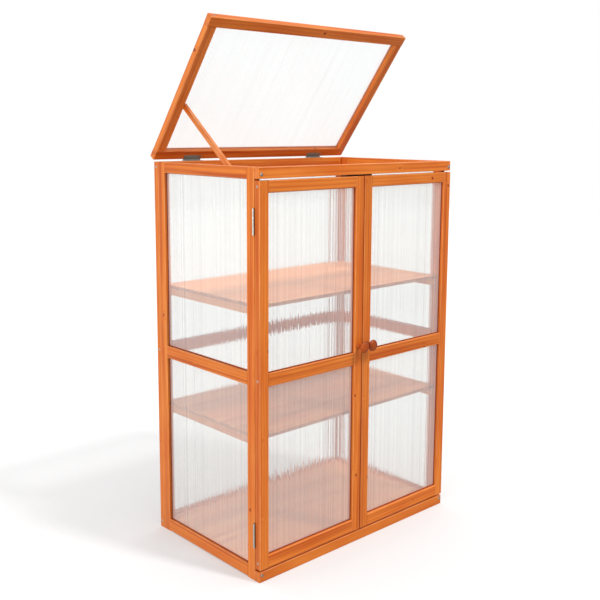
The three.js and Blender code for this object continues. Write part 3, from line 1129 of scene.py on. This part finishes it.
def screw_tree():
    """A screw head on every point, turned out along the point's facing and spun by chance."""
    tree, given, out = new_group(
        "Screw heads",
        {
            "Geometry": ("Geometry", None),
            "Head": ("Object", None),
            "Seed": ("Int", 1),
            "Material": ("Material", None),
        },
        {"Geometry": ("Geometry", None)},
        "GeometryNodeTree",
    )
    head = node(tree, "GeometryNodeObjectInfo", {"Object": given["Head"]}).outputs["Geometry"]
    outward = node(
        tree, "GeometryNodeInputNamedAttribute", {"Name": "facing"}, data_type="FLOAT_VECTOR"
    ).outputs[0]
    width = node(
        tree, "GeometryNodeInputNamedAttribute", {"Name": "width"}, data_type="FLOAT"
    ).outputs[0]
    turned_out = node(tree, "FunctionNodeAlignRotationToVector", {"Vector": outward}, axis="Z")
    spin = node(
        tree,
        "FunctionNodeRandomValue",
        {2: 0.0, 3: math.pi, "Seed": given["Seed"]},
        data_type="FLOAT",
    ).outputs[1]
    spun = node(
        tree,
        "FunctionNodeRotateRotation",
        {0: turned_out.outputs[0], 1: vector(tree, z=spin)},
        rotation_space="LOCAL",
    )
    placed = node(
        tree,
        "GeometryNodeInstanceOnPoints",
        {
            "Points": given["Geometry"],
            "Instance": head,
            "Rotation": spun.outputs[0],
            "Scale": width,
        },
    )
    end_tree(tree, out, placed.outputs[0], given["Material"])
    return tree


def barrel_tree():
    """Every other knuckle of a hinge barrel, along z."""
    tree, given, out = new_group(
        "Hinge knuckles",
        {
            "Length": ("Float", 68 * MM),
            "Radius": ("Float", 3 * MM),
            "Knuckles": ("Int", 5),
            "First": ("Int", 0),
            "Gap": ("Float", 0.3 * MM),
            "Material": ("Material", None),
        },
        {"Geometry": ("Geometry", None)},
        "GeometryNodeTree",
    )
    pitch = calc(tree, "DIVIDE", given["Length"], given["Knuckles"])
    first = calc(tree, "MULTIPLY", calc(tree, "SUBTRACT", pitch, given["Length"]), 0.5)
    row = node(
        tree,
        "GeometryNodeMeshLine",
        {
            "Count": given["Knuckles"],
            "Start Location": vector(tree, z=first),
            "Offset": vector(tree, z=pitch),
        },
    )
    depth = calc(tree, "SUBTRACT", pitch, given["Gap"])
    knuckle = node(
        tree,
        "GeometryNodeMeshCylinder",
        {"Vertices": 32, "Radius": given["Radius"], "Depth": depth},
    )
    index = node(tree, "GeometryNodeInputIndex").outputs[0]
    parity = calc(tree, "FLOORED_MODULO", index, 2.0)
    mine = node(
        tree,
        "FunctionNodeCompare",
        {0: parity, 1: given["First"], "Epsilon": 0.1},
        data_type="FLOAT",
        operation="EQUAL",
    ).outputs[0]
    placed = node(
        tree,
        "GeometryNodeInstanceOnPoints",
        {"Points": row.outputs[0], "Selection": mine, "Instance": knuckle.outputs[0]},
    )
    real = node(tree, "GeometryNodeRealizeInstances", {0: placed.outputs[0]}).outputs[0]
    end_tree(tree, out, smooth_by_angle(tree, real), given["Material"])
    return tree


TREES = {}


def shape_tree(name):
    """The shape tree of that name, made once."""
    makers = {
        "sheet": sheet_tree,
        "strips": strip_tree,
        "screws": screw_tree,
        "barrel": barrel_tree,
    }
    if name not in TREES:
        TREES[name] = makers[name]()
    return TREES[name]


# Pieces


def batten_mesh(name, rounding):
    """A batten as in the CAD model, with its edges rounded."""
    if name == "left_top_rail":
        # The stick's rest block is a piece of its own here, so this rail is the right one, moved over
        bm = merged_copy("right_top_rail")
        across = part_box(name)[0].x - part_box("right_top_rail")[0].x
        bmesh.ops.translate(bm, vec=(across, 0, 0), verts=bm.verts[:])
    else:
        bm = merged_copy(name)
    mesh = mesh_from(round_edges(bm, rounding))
    mark_wood(mesh, name, own_frame(BODY_OF[name]))
    return softened(mesh)


def knob_profile(radius, reach):
    """Radius and height of a turned mushroom knob, from its foot to its crown."""
    foot, lip, foot_side, foot_top = 8 * MM, 0.6 * MM, 1.4 * MM, 2.2 * MM
    neck, neck_top = 5.4 * MM, 8.2 * MM
    rim = reach * 0.75
    underside, under_rim = radius - 1.2 * MM, rim - 1.5 * MM
    points = [(0, 0), (foot, 0), (foot, foot_side), (foot - lip, foot_top)]
    for step in range(1, 7):
        part = step / 6
        narrowing = math.sin(part * math.pi / 2)
        height = foot_top + part * (neck_top - foot_top)
        points.append((foot - lip + (neck - foot + lip) * narrowing, height))
    for step in range(1, 9):
        part = step / 8
        widening = part**2.2
        height = neck_top + (under_rim - neck_top) * part
        points.append((neck + (underside - neck) * widening, height))
    points.append((radius - 0.3 * MM, rim - 0.7 * MM))
    for step in range(12):
        turn = step / 12 * math.pi / 2
        points.append((radius * math.cos(turn) ** 0.8, rim + (reach - rim) * math.sin(turn)))
    return points + [(0, reach)]


def knob_mesh(name, look):
    low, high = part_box(name)
    seat = Vector(((low.x + high.x) / 2, high.y, (low.z + high.z) / 2))
    mesh = turned(knob_profile(look.knob_radius, high.y - low.y), sides=48)
    moved(mesh, facing(seat, FRONT))
    mark_wood(mesh, name, along=1)
    return softened(mesh, sharp_degrees=50)


def leaf_plate(long, fixed):
    """A hinge leaf's plate with its holes. It lies in x and z, and its teeth reach the barrel."""
    start = BARREL_RADIUS + BARREL_GAP
    pitch = long / KNUCKLES
    corner = 2 * MM
    outline = []
    for index in range(KNUCKLES):
        low = -long / 2 + index * pitch + (BARREL_GAP / 2 if index else 0)
        high = -long / 2 + (index + 1) * pitch - (BARREL_GAP / 2 if index < KNUCKLES - 1 else 0)
        reach = 0 if (index % 2 == 0) == fixed else start
        outline += [(reach, low), (reach, high)]
    far, end = LEAF_REACH - corner, long / 2 - corner
    for height, first_degrees in ((end, 90), (-end, 0)):
        for step in range(5):
            turn = math.radians(first_degrees - 90 * step / 4)
            outline.append((far + corner * math.cos(turn), height + corner * math.sin(turn)))
    curve = bpy.data.curves.new("plate", "CURVE")
    curve.dimensions = "2D"
    curve.fill_mode = "BOTH"
    curve.extrude = LEAF_THICKNESS / 2
    centres = [(LEAF_HOLE_REACH, part * long) for part in LEAF_HOLE_SHARES]
    holes = [circle(centre, LEAF_HOLE_RADIUS, count=20) for centre in centres]
    for ring in [outline] + holes:
        spline = curve.splines.new("POLY")
        spline.points.add(len(ring) - 1)
        for point, (x, z) in zip(spline.points, ring):
            point.co = (x, z, 0, 1)
        spline.use_cyclic_u = True
    mesh = evaluated_mesh(link_object("carrier", curve))
    bpy.data.curves.remove(curve)
    side = (LEAF_PARTING + LEAF_THICKNESS) / 2 * (1 if fixed else -1)
    moved(mesh, Matrix.Translation((0, side, 0)) @ Matrix.Rotation(math.pi / 2, 4, "X"))
    bm = bmesh.new()
    bm.from_mesh(mesh)
    bpy.data.meshes.remove(mesh)
    bmesh.ops.remove_doubles(bm, verts=bm.verts[:], dist=0.001 * MM)
    bmesh.ops.recalc_face_normals(bm, faces=bm.faces[:])
    return mesh_from(bm)


def leaf_mesh(long, fixed, materials):
    """One leaf with its knuckles, and the pin on the fixed one. Its axis is z, and it reaches to +x."""
    parts = [leaf_plate(long, fixed)]
    parts.append(
        grown(
            shape_tree("barrel"),
            {
                "Length": long,
                "Radius": BARREL_RADIUS,
                "Knuckles": KNUCKLES,
                "First": 0 if fixed else 1,
                "Gap": BARREL_GAP,
                "Material": materials["steel"],
            },
        )
    )
    if fixed:
        end, head = long / 2, PIN_HEAD_RADIUS
        tips = [(0, 0.9), (head * 0.6, 0.75), (head, 0.3), (head, 0.05)]
        low = [(r, -end - h * MM) for r, h in tips]
        high = [(r, end + h * MM) for r, h in reversed(tips)]
        shank = [(PIN_RADIUS, -end), (PIN_RADIUS, end)]
        parts.append(turned(low + shank + high, sides=20))
    return softened(joined_mesh(*parts), sharp_degrees=40)


def door_hinge_place(side, level):
    """The matrix of a door hinge's own axes, and the hinge's length."""
    hinge = JOINTS[f"{side}_door_hinge"]
    low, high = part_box(f"{side}_door_{level}_hinge_frame_leaf")
    outward = SIDES[side]
    place = (hinge["pos_m"][0], hinge["pos_m"][1], (low.z + high.z) / 2)
    return along_axes(place, (-outward, 0, 0), BACK, (0, 0, -outward)), high.z - low.z


def lid_hinge_place(side):
    """The matrix of a lid hinge's own axes with the lid shut, and the hinge's length."""
    hinge = JOINTS["lid_hinge"]
    low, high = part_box(f"lid_{side}_hinge_frame_leaf")
    place = ((low.x + high.x) / 2, hinge["pos_m"][1], hinge["pos_m"][2])
    return along_axes(place, FRONT, -UP, RIGHT), high.x - low.x


def hinges():
    """Every hinge leaf: its CAD node, whether it is the fixed one, its place and its length."""
    found = []
    for side in SIDES:
        for level in ("upper", "lower"):
            place, long = door_hinge_place(side, level)
            for kind in ("frame", "door"):
                found.append((f"{side}_door_{level}_hinge_{kind}_leaf", kind == "frame", place, long))
        place, long = lid_hinge_place(side)
        found.append((f"lid_{side}_hinge_frame_leaf", True, place, long))
        found.append((f"lid_{side}_hinge_lid_leaf", False, OWN_FRAMES["lid"] @ place, long))
    return found


def head_object(name, profile, material):
    """A screw head of diameter 1 with a cross recess, for the screw tree."""
    half_arm, half_width, depth, spare = 0.29, 0.055, 0.14, 0.2
    top = profile[-1][1]
    head = turned(profile, sides=20)
    for angle in (0, math.pi / 2):
        low = (-half_arm, -half_width, top - depth)
        arm = bar(low, (half_arm, half_width, top + spare), rounding=0.01)
        head = cut(head, moved(arm, Matrix.Rotation(angle, 4, "Z")))
    head = softened(head, sharp_degrees=40)
    head.materials.clear()
    head.materials.append(material)
    return link_object(name, head)


def pan_profile():
    """Radius and height of a domed head, for a diameter of 1."""
    rows = [(0, -0.1), (0.3, -0.1), (0.3, 0), (0.49, 0), (0.5, 0.03)]
    for step in range(1, 7):
        turn = step / 6 * math.pi / 2
        radius = 0.5 * math.cos(turn) ** 0.75 if step < 6 else 0
        rows.append((radius, 0.05 + 0.22 * math.sin(turn)))
    return rows


def flush_profile():
    """Radius and height of a countersunk head, for a diameter of 1."""
    cone = [(0, -0.38), (0.2, -0.38), (0.47, -0.03), (0.5, 0)]
    return cone + [(0.485, 0.02), (0.3, 0.035), (0, 0.04)]


def screw_points(rows):
    """A mesh of loose points that carry where each head faces and how wide it is."""
    mesh = bpy.data.meshes.new("points")
    mesh.from_pydata([tuple(place) for place, _, _ in rows], [], [])
    outward = mesh.attributes.new("facing", "FLOAT_VECTOR", "POINT")
    outward.data.foreach_set("vector", [x for _, way, _ in rows for x in way])
    width = mesh.attributes.new("width", "FLOAT", "POINT")
    width.data.foreach_set("value", [w for _, _, w in rows])
    return mesh


def joint_screws(look):
    """Screws by body and kind of head: (place, facing, diameter)."""
    flush, pan = look.flush_head, look.pan_head
    rail_ends = (-372 * MM, 372 * MM)
    top_rail_height, bottom_rail_height = 1082 * MM, 20 * MM
    shelf_front_inset, shelf_back_inset = 12 * MM, 15 * MM
    knob_screw = 7 * MM
    found = {}

    def add(body, kind, place, way, width):
        place, way = Vector(place), Vector(way)
        turn = own_frame(body)
        found.setdefault((body, kind), []).append(
            (turn @ place, (turn.to_3x3() @ way).normalized(), width)
        )

    top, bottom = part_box("front_top_rail"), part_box("front_bottom_rail")
    for x in rail_ends:
        add("cabinet", "pan", (x, top[0].y, top_rail_height), FRONT, pan)
        add("cabinet", "pan", (x, bottom[0].y, bottom_rail_height), FRONT, pan)
    for side, sign in SIDES.items():
        out = Vector((sign, 0, 0))
        rails = [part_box(f"{side}_{level}_rail") for level in LEVELS]
        heights = [(low.z + high.z) / 2 for low, high in rails]
        back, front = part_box(f"back_{side}_stile"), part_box(f"{side}_front_stile")
        for height in heights:
            edge = back[0].x if sign < 0 else back[1].x
            add("cabinet", "flush", (edge, (back[0].y + back[1].y) / 2, height), out, flush)
            middle = (front[0].x + front[1].x) / 2
            add("cabinet", "flush", (middle, front[0].y, height), FRONT, flush)
        for shelf in SHELVES:
            low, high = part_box(shelf)
            inner = high.x - SHELF_BATTEN if sign > 0 else low.x + SHELF_BATTEN
            for y in (low.y + shelf_front_inset, high.y - shelf_back_inset):
                place = (inner, y, low.z + SHELF_BATTEN / 2)
                add("cabinet", "flush", place, -out, look.shelf_head)

        door = f"{side}_door"
        rails = [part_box(f"{door}_{level}_rail") for level in LEVELS]
        outer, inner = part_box(f"{door}_hinge_stile"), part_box(f"{door}_meeting_stile")
        for low, high in rails:
            y, z = (low.y + high.y) / 2, (low.z + high.z) / 2
            add(door, "flush", (outer[0].x if sign < 0 else outer[1].x, y, z), out, flush)
            add(door, "flush", (inner[1].x if sign < 0 else inner[0].x, y, z), -out, flush)
        low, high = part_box(f"{door}_knob")
        seat = ((low.x + high.x) / 2, inner[1].y, (low.z + high.z) / 2)
        add(door, "pan", seat, BACK, knob_screw)

        for rail, pick, way in (("lid_free_rail", 0, FRONT), ("lid_hinge_rail", 1, BACK)):
            box = own_box(rail)
            stile = own_box(f"lid_{side}_stile")
            place = ((stile[0].x + stile[1].x) / 2, box[pick].y, (box[0].z + box[1].z) / 2)
            add("lid", "flush", place, way, flush)
    return found


def hinge_screws():
    """Screws in the hinge leaves' holes, by body."""
    found = {}
    for name, fixed, place, long in hinges():
        inner = LEAF_PARTING / 2 * (1 if fixed else -1)
        way = place.to_3x3() @ Vector((0, -1 if fixed else 1, 0))
        for part in LEAF_HOLE_SHARES:
            spot = Vector((LEAF_HOLE_REACH, inner, part * long))
            sunk = place @ spot - way * HINGE_SCREW_SINK
            row = (sunk, way, HINGE_SCREW_HEAD)
            found.setdefault((BODY_OF[name], "flush"), []).append(row)
    return found


# Operators


class GREENHOUSE_OT_battens(bpy.types.Operator):
    """Dress every batten of the frames, doors and lid"""

    bl_idname = "greenhouse.battens"
    bl_label = "Battens"

    def execute(self, context):
        materials = make_materials(context.scene)
        rounding = context.scene.greenhouse_wood.rounding
        left_out = ("lid_prop", "left_door_knob", "right_door_knob")
        for name in WOOD_NODES:
            if name not in left_out:
                mesh = batten_mesh(name, rounding)
                show(f"{name}_batten", mesh, materials["wood"], BODY_OF[name], [name])
        return {"FINISHED"}


class GREENHOUSE_OT_sheets(bpy.types.Operator):
    """Make the fluted sheets"""

    bl_idname = "greenhouse.sheets"
    bl_label = "Sheets"

    def execute(self, context):
        materials = make_materials(context.scene)
        look = context.scene.greenhouse_sheet
        for number, name in enumerate(SHEET_NODES):
            low, high = own_box(name)
            size = high - low
            body = BODY_OF[name]
            is_lid = body == "lid"
            material = materials["lid_sheet" if is_lid else "sheet"]
            thin = min(range(3), key=lambda axis: size[axis])
            if is_lid:
                across, along, normal = RIGHT, FRONT, UP
                width, height = size.x, size.y
            elif thin == 1:
                across, along, normal = RIGHT, UP, BACK
                width, height = size.x, size.z
            else:
                across, along, normal = BACK, UP, -RIGHT
                width, height = size.y, size.z
            mesh = grown(
                shape_tree("sheet"),
                {
                    "Width": width,
                    "Height": height,
                    "Thickness": size[thin],
                    "Pitch": look.pitch,
                    "Hollow": look.hollow,
                    "Steps": look.steps,
                    "Seed": number + 1,
                    "Material": material,
                },
            )
            moved(mesh, own_frame(body) @ along_axes((low + high) / 2, across, normal, along))
            show(f"{name}_fluted", mesh, material, body, [name])
        return {"FINISHED"}


class GREENHOUSE_OT_shelves(bpy.types.Operator):
    """Make the shelf boards and the battens under their ends"""

    bl_idname = "greenhouse.shelves"
    bl_label = "Shelves"

    def execute(self, context):
        materials = make_materials(context.scene)
        look = context.scene.greenhouse_shelf
        tree = shape_tree("strips")
        for name in SHELVES:
            low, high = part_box(name)
            size = high - low
            board = grown(
                tree,
                {
                    "Length": size.x,
                    "Width": size.y,
                    "Thickness": SHELF_BOARD,
                    "Strips": look.strips,
                    "Rounding": look.rounding,
                    "Material": materials["shelf"],
                },
            )
            middle = (low + high) / 2
            place = (middle.x, middle.y, high.z - SHELF_BOARD / 2)
            moved(board, along_axes(place, BACK, UP, RIGHT))
            mark_wood(board, name, eased=look.rounding)
            # Marks the edges and underside of the board for painted shade
            heights = points_of(board)[:, 2]
            sides = np.clip((high.z - heights) / look.rounding, 0, 1)
            board.attributes.new("edge", "FLOAT", "POINT").data.foreach_set("value", sides)
            board = softened(board)
            show(f"{name}_board", board, materials["shelf"], "cabinet", [name])
            for side, sign in SIDES.items():
                batten = grown(
                    tree,
                    {
                        "Length": size.y,
                        "Width": SHELF_BATTEN,
                        "Thickness": size.z - SHELF_BOARD,
                        "Strips": 1,
                        "Rounding": look.rounding * 2,
                        "Material": materials["shelf"],
                    },
                )
                edge = high.x if sign > 0 else low.x
                centre = (low.z + high.z - SHELF_BOARD) / 2
                place = (edge - sign * SHELF_BATTEN / 2, middle.y, centre)
                moved(batten, along_axes(place, RIGHT, UP, FRONT))
                mark_wood(batten, f"{name} {side}", eased=look.rounding * 2)
                batten = softened(batten)
                show(f"{name}_{side}_batten", batten, materials["shelf"], "cabinet")
        return {"FINISHED"}


class GREENHOUSE_OT_knobs(bpy.types.Operator):
    """Turn the two door knobs"""

    bl_idname = "greenhouse.knobs"
    bl_label = "Knobs"

    def execute(self, context):
        materials = make_materials(context.scene)
        look = context.scene.greenhouse_fittings
        for side in SIDES:
            name = f"{side}_door_knob"
            mesh = knob_mesh(name, look)
            show(f"{name}_turned", mesh, materials["turned"], f"{side}_door", [name])
        return {"FINISHED"}


class GREENHOUSE_OT_hinges(bpy.types.Operator):
    """Make the butt hinges of the doors and the lid"""

    bl_idname = "greenhouse.hinges"
    bl_label = "Hinges"

    def execute(self, context):
        materials = make_materials(context.scene)
        for name, fixed, place, long in hinges():
            mesh = moved(leaf_mesh(long, fixed, materials), place)
            show(f"{name}_plate", mesh, materials["steel"], BODY_OF[name], [name])
        return {"FINISHED"}


class GREENHOUSE_OT_stick(bpy.types.Operator):
    """Make the folding stick, its pivot screw, its dowel and the block that it rests on"""

    bl_idname = "greenhouse.stick"
    bl_label = "Stick"

    def execute(self, context):
        materials = make_materials(context.scene)
        own = OWN_FRAMES["prop"]
        low, high = own_box("lid_prop")
        inner = (own.inverted() @ Vector(JOINTS["prop_pivot"]["pos_m"])).x
        thickness = high.x - inner

        stick = moved(self.stick_bar(low.y, inner, thickness), own)
        mark_wood(stick, "stick", own)
        stick = softened(stick, sharp_degrees=40)
        show("stick_bar", stick, materials["wood"], "prop", ["lid_prop"])

        profile = self.dowel_profile(inner - low.x, thickness)
        foot = (inner, low.y + STICK_OVERHANG, 0)
        dowel = moved(turned(profile, sides=28), own @ facing(foot, RIGHT))
        mark_wood(dowel, "dowel", own, along=0, eased=0.2 * MM)
        dowel = softened(dowel, sharp_degrees=40)
        show("stick_dowel", dowel, materials["turned"], "prop")

        # A dished washer outside the stick, and the shank that goes into the lid's stile
        dish = [(0, 0), (6 * MM, 0), (6.4 * MM, 0.3 * MM), (6.2 * MM, 0.9 * MM)]
        dish += [(3 * MM, WASHER_THICKNESS), (0, WASHER_THICKNESS)]
        washer = moved(turned(dish, sides=36), own @ facing((high.x, 0, 0), RIGHT))
        shank = [(0, -9 * MM), (2 * MM, -8.4 * MM), (2 * MM, 0.4 * MM), (0, 0.4 * MM)]
        pin = moved(turned(shank, sides=24), own @ facing((inner, 0, 0), RIGHT))
        steel = softened(joined_mesh(washer, pin), sharp_degrees=40)
        show("stick_pivot", steel, materials["steel"], "prop")

        block = bar(*self.block_box(-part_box("right_top_rail")[0].x), EASED_EDGE)
        mark_wood(block, "rest block", along=1)
        block = softened(block)
        show("stick_rest_block", block, materials["wood"], "cabinet")
        return {"FINISHED"}

    @staticmethod
    def stick_bar(end, face, thickness):
        """The stick in its own frame: round at its pivot, and square at its foot."""
        radius = STICK_WIDTH / 2
        turns = np.linspace(-math.pi / 2, math.pi / 2, 17)
        points = [(radius * math.cos(t), radius * math.sin(t)) for t in turns]
        points += [(end, radius), (end, -radius)]
        bm = bmesh.new()
        near = [bm.verts.new((face, y, z)) for y, z in points]
        far = [bm.verts.new((face + thickness, y, z)) for y, z in points]
        bm.faces.new(near)
        bm.faces.new(far)
        for step in range(len(points)):
            ahead = (step + 1) % len(points)
            bm.faces.new((near[step], near[ahead], far[ahead], far[step]))
        bmesh.ops.recalc_face_normals(bm, faces=bm.faces[:])
        return mesh_from(round_edges(bm, EASED_EDGE, least_degrees=40))

    @staticmethod
    def dowel_profile(reach, thickness):
        """Radius and place along the dowel, which runs through the stick and stands a little proud."""
        rounded = 0.6 * MM
        narrow = DOWEL_RADIUS - rounded
        rows = [(0, -reach), (narrow, -reach), (DOWEL_RADIUS, rounded - reach)]
        rows += [(DOWEL_RADIUS, thickness + 0.4 * MM), (narrow, thickness + 0.9 * MM)]
        return rows + [(0, thickness + 1.1 * MM)]

    @staticmethod
    def block_box(face):
        """The corners of the rest block, from what the left top rail has beyond its inner face."""
        points = [v.co for v in NODES["left_top_rail"].data.vertices if v.co.x > face + MM]
        low, high = extremes(points)
        low.x = face
        return low, high


class GREENHOUSE_OT_screws(bpy.types.Operator):
    """Set the screws in the frames, doors, lid, shelves and hinges"""

    bl_idname = "greenhouse.screws"
    bl_label = "Screws"

    def execute(self, context):
        materials = make_materials(context.scene)
        look = context.scene.greenhouse_fittings
        heads = {
            "pan": head_object("pan_head", pan_profile(), materials["steel"]),
            "flush": head_object("flush_head", flush_profile(), materials["steel"]),
        }
        groups = joint_screws(look)
        for key, rows in hinge_screws().items():
            groups.setdefault(key, []).extend(rows)
        washer_face = own_box("lid_prop")[1].x + WASHER_THICKNESS
        pivot = OWN_FRAMES["prop"] @ Vector((washer_face, 0, 0))
        groups[("prop", "pan")] = [(pivot, RIGHT, PIVOT_HEAD)]
        for number, ((body, kind), rows) in enumerate(sorted(groups.items(), key=lambda g: g[0])):
            mesh = grown(
                shape_tree("screws"),
                {"Head": heads[kind], "Seed": number + 3, "Material": materials["steel"]},
                screw_points(rows),
            )
            show(f"{body}_{kind}_screws", mesh, materials["steel"], body)
        for head in heads.values():
            bpy.data.objects.remove(head)
        return {"FINISHED"}


class GREENHOUSE_OT_catch(bpy.types.Operator):
    """Make the double catch under the top front rail and its plates on the doors"""

    bl_idname = "greenhouse.catch"
    bl_label = "Catch"

    def execute(self, context):
        materials = make_materials(context.scene)
        half = context.scene.greenhouse_fittings.catch_width / 2
        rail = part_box("front_top_rail")
        face, top = rail[1].y, rail[0].z
        overlap = 0.3 * MM
        low = (-half, face, top - 6 * MM)
        high = (half, face + 2.4 * MM, top + 18 * MM)
        flange = bar(low, high, rounding=0.6 * MM)
        low = (-half, face + overlap, top - 21 * MM)
        high = (half, face + 22 * MM, top - 2 * MM)
        case = bar(low, high, rounding=1.2 * MM)
        show("catch_case", softened(joined_mesh(flange, case)), materials["plastic"], "cabinet")

        pole_half, pole_thickness, pole_lows = 16 * MM, 2 * MM, (top - 17 * MM, top - 8 * MM)
        poles = []
        for sign in SIDES.values():
            middle = sign * half * 0.5
            for pole_low in pole_lows:
                low = (middle - pole_half, face - overlap, pole_low)
                high = (middle + pole_half, face + 3 * MM, pole_low + pole_thickness)
                poles.append(bar(low, high, rounding=0.3 * MM))
        pole_plates = softened(joined_mesh(*poles))
        show("catch_pole_plates", pole_plates, materials["steel"], "cabinet")

        strike_half, strike_thickness = 14 * MM, 1.2 * MM
        strike_low, strike_high = top - 20 * MM, top - 4.7 * MM
        for side, sign in SIDES.items():
            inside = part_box(f"{side}_door_meeting_stile")[1].y
            middle = sign * half * 0.5
            low = (middle - strike_half, inside, strike_low)
            high = (middle + strike_half, inside + strike_thickness, strike_high)
            plate = softened(bar(low, high, rounding=0.3 * MM))
            name = f"{side}_door_strike_plate"
            show(name, plate, materials["steel"], f"{side}_door")
        return {"FINISHED"}


class GREENHOUSE_OT_stage(bpy.types.Operator):
    """Set the camera, the light and the floor"""

    bl_idname = "greenhouse.stage"
    bl_label = "Stage"

    def execute(self, context):
        look = context.scene.greenhouse_stage
        self.camera(context.scene, look)
        self.sky(context.scene, look)
        self.sun("left_light", LEFT_LIGHT_FROM, LEFT_LIGHT_DEGREES, look.left_sun)
        self.sun("front_light", FRONT_LIGHT_FROM, FRONT_LIGHT_DEGREES, look.front_sun)
        self.floor(look)
        return {"FINISHED"}

    @staticmethod
    def camera(scene, look):
        yaw, pitch, roll = (math.radians(angle) for angle in CAMERA_ANGLES)
        forward = Vector(
            (-math.sin(yaw) * math.cos(pitch), math.cos(yaw) * math.cos(pitch), math.sin(pitch))
        )
        level = Vector((math.cos(yaw), math.sin(yaw), 0))
        upright = level.cross(forward)
        right = math.cos(roll) * level + math.sin(roll) * upright
        above = -math.sin(roll) * level + math.cos(roll) * upright
        data = bpy.data.cameras.new("camera")
        data.lens = look.lens
        data.shift_y = look.shift
        eye = link_object("camera", data)
        eye.matrix_world = along_axes(CAMERA_PLACE, right, above, -forward)
        scene.camera = eye

    @staticmethod
    def sky(scene, look):
        """White where it is seen, darker on one side in reflections, and a soft light from above."""
        world = bpy.data.worlds.new("Studio")
        world.use_nodes = True
        tree = world.node_tree
        tree.nodes.clear()
        path = node(tree, "ShaderNodeLightPath").outputs
        seen = calc(tree, "MAXIMUM", path["Is Camera Ray"], path["Is Transmission Ray"])
        way = node(tree, "ShaderNodeTexCoord").outputs["Generated"]
        towards = vector_calc(tree, "DOT_PRODUCT", way, BRIGHT_SIDE)
        dark_level, bright_level = 0.36, 0.95
        mirrored = ranged(tree, towards, -0.95, 0.45, dark_level, bright_level)
        height = node(tree, "ShaderNodeSeparateXYZ", {0: way}).outputs[2]
        soft = ranged(tree, height, 0.0, 1.0, look.low_sky, look.high_sky)
        unseen = ranged(tree, path["Is Glossy Ray"], 0.0, 1.0, soft, mirrored)
        level = ranged(tree, seen, 0.0, 1.0, unseen, 1.0)
        light = node(tree, "ShaderNodeBackground", {"Color": (1, 1, 1, 1), "Strength": level})
        node(tree, "ShaderNodeOutputWorld", {"Surface": light.outputs[0]})
        scene.world = world
        scene.view_settings.view_transform = "Standard"

    @staticmethod
    def sun(name, direction, degrees, level):
        """A far light, as wide as the given angle, that shines from a direction."""
        data = bpy.data.lights.new(name, "SUN")
        data.angle = math.radians(degrees)
        data.energy = level
        link_object(name, data).matrix_world = facing(direction, direction)

    @staticmethod
    def floor(look):
        """A grey floor for the light on the object, which is seen as white with a pale shadow."""
        bm = bmesh.new()
        bmesh.ops.create_grid(bm, x_segments=1, y_segments=1, size=FLOOR_HALF_WIDTH)
        ground = link_object("floor", mesh_from(bm))
        made, tree, shader, out = new_material("Pale studio floor")
        shader.inputs["Roughness"].default_value = 0.9
        shader.inputs["Base Color"].default_value = rgba(look.floor)
        shader.inputs["Specular IOR Level"].default_value = 0.0
        seen_white = rgba((look.seen_floor,) * 3)
        matt = node(tree, "ShaderNodeBsdfDiffuse", {"Color": seen_white})
        glow = node(tree, "ShaderNodeEmission", {"Strength": look.floor_glow})
        both = node(tree, "ShaderNodeAddShader", {0: matt.outputs[0], 1: glow.outputs[0]})
        path = node(tree, "ShaderNodeLightPath").outputs
        seen = calc(tree, "MAXIMUM", path["Is Camera Ray"], path["Is Transmission Ray"])
        mixed = node(
            tree, "ShaderNodeMixShader", {0: seen, 1: shader.outputs[0], 2: both.outputs[0]}
        )
        tree.links.new(mixed.outputs[0], out.inputs["Surface"])
        ground.data.materials.append(made)
        ground.visible_glossy = False


class GREENHOUSE_PT_panel(bpy.types.Panel):
    """Pieces and settings of the greenhouse"""

    bl_idname = "GREENHOUSE_PT_panel"
    bl_label = "Mini greenhouse"
    bl_space_type = "VIEW_3D"
    bl_region_type = "UI"
    bl_category = "Greenhouse"

    def draw(self, context):
        for operator in PIECES:
            self.layout.operator(operator.bl_idname)
        for name, group in SETTINGS.items():
            box = self.layout.box()
            box.label(text=group.__doc__)
            for prop in group.__annotations__:
                box.prop(getattr(context.scene, name), prop)


SETTINGS = {
    "greenhouse_wood": GREENHOUSE_PG_wood,
    "greenhouse_sheet": GREENHOUSE_PG_sheet,
    "greenhouse_shelf": GREENHOUSE_PG_shelf,
    "greenhouse_fittings": GREENHOUSE_PG_fittings,
    "greenhouse_stage": GREENHOUSE_PG_stage,
}
PIECES = (
    GREENHOUSE_OT_stage,
    GREENHOUSE_OT_battens,
    GREENHOUSE_OT_shelves,
    GREENHOUSE_OT_sheets,
    GREENHOUSE_OT_knobs,
    GREENHOUSE_OT_hinges,
    GREENHOUSE_OT_stick,
    GREENHOUSE_OT_screws,
    GREENHOUSE_OT_catch,
)


def register():
    for cls in (*SETTINGS.values(), *PIECES, GREENHOUSE_PT_panel):
        bpy.utils.register_class(cls)
    for name, group in SETTINGS.items():
        setattr(bpy.types.Scene, name, PointerProperty(type=group))


def unregister():
    for name in SETTINGS:
        delattr(bpy.types.Scene, name)
    for cls in reversed((*SETTINGS.values(), *PIECES, GREENHOUSE_PT_panel)):
        bpy.utils.unregister_class(cls)


def main():
    """Makes every piece."""
    register()
    for operator in PIECES:
        group, name = operator.bl_idname.split(".")
        getattr(getattr(bpy.ops, group), name)()


if __name__ == "__main__":
    main()
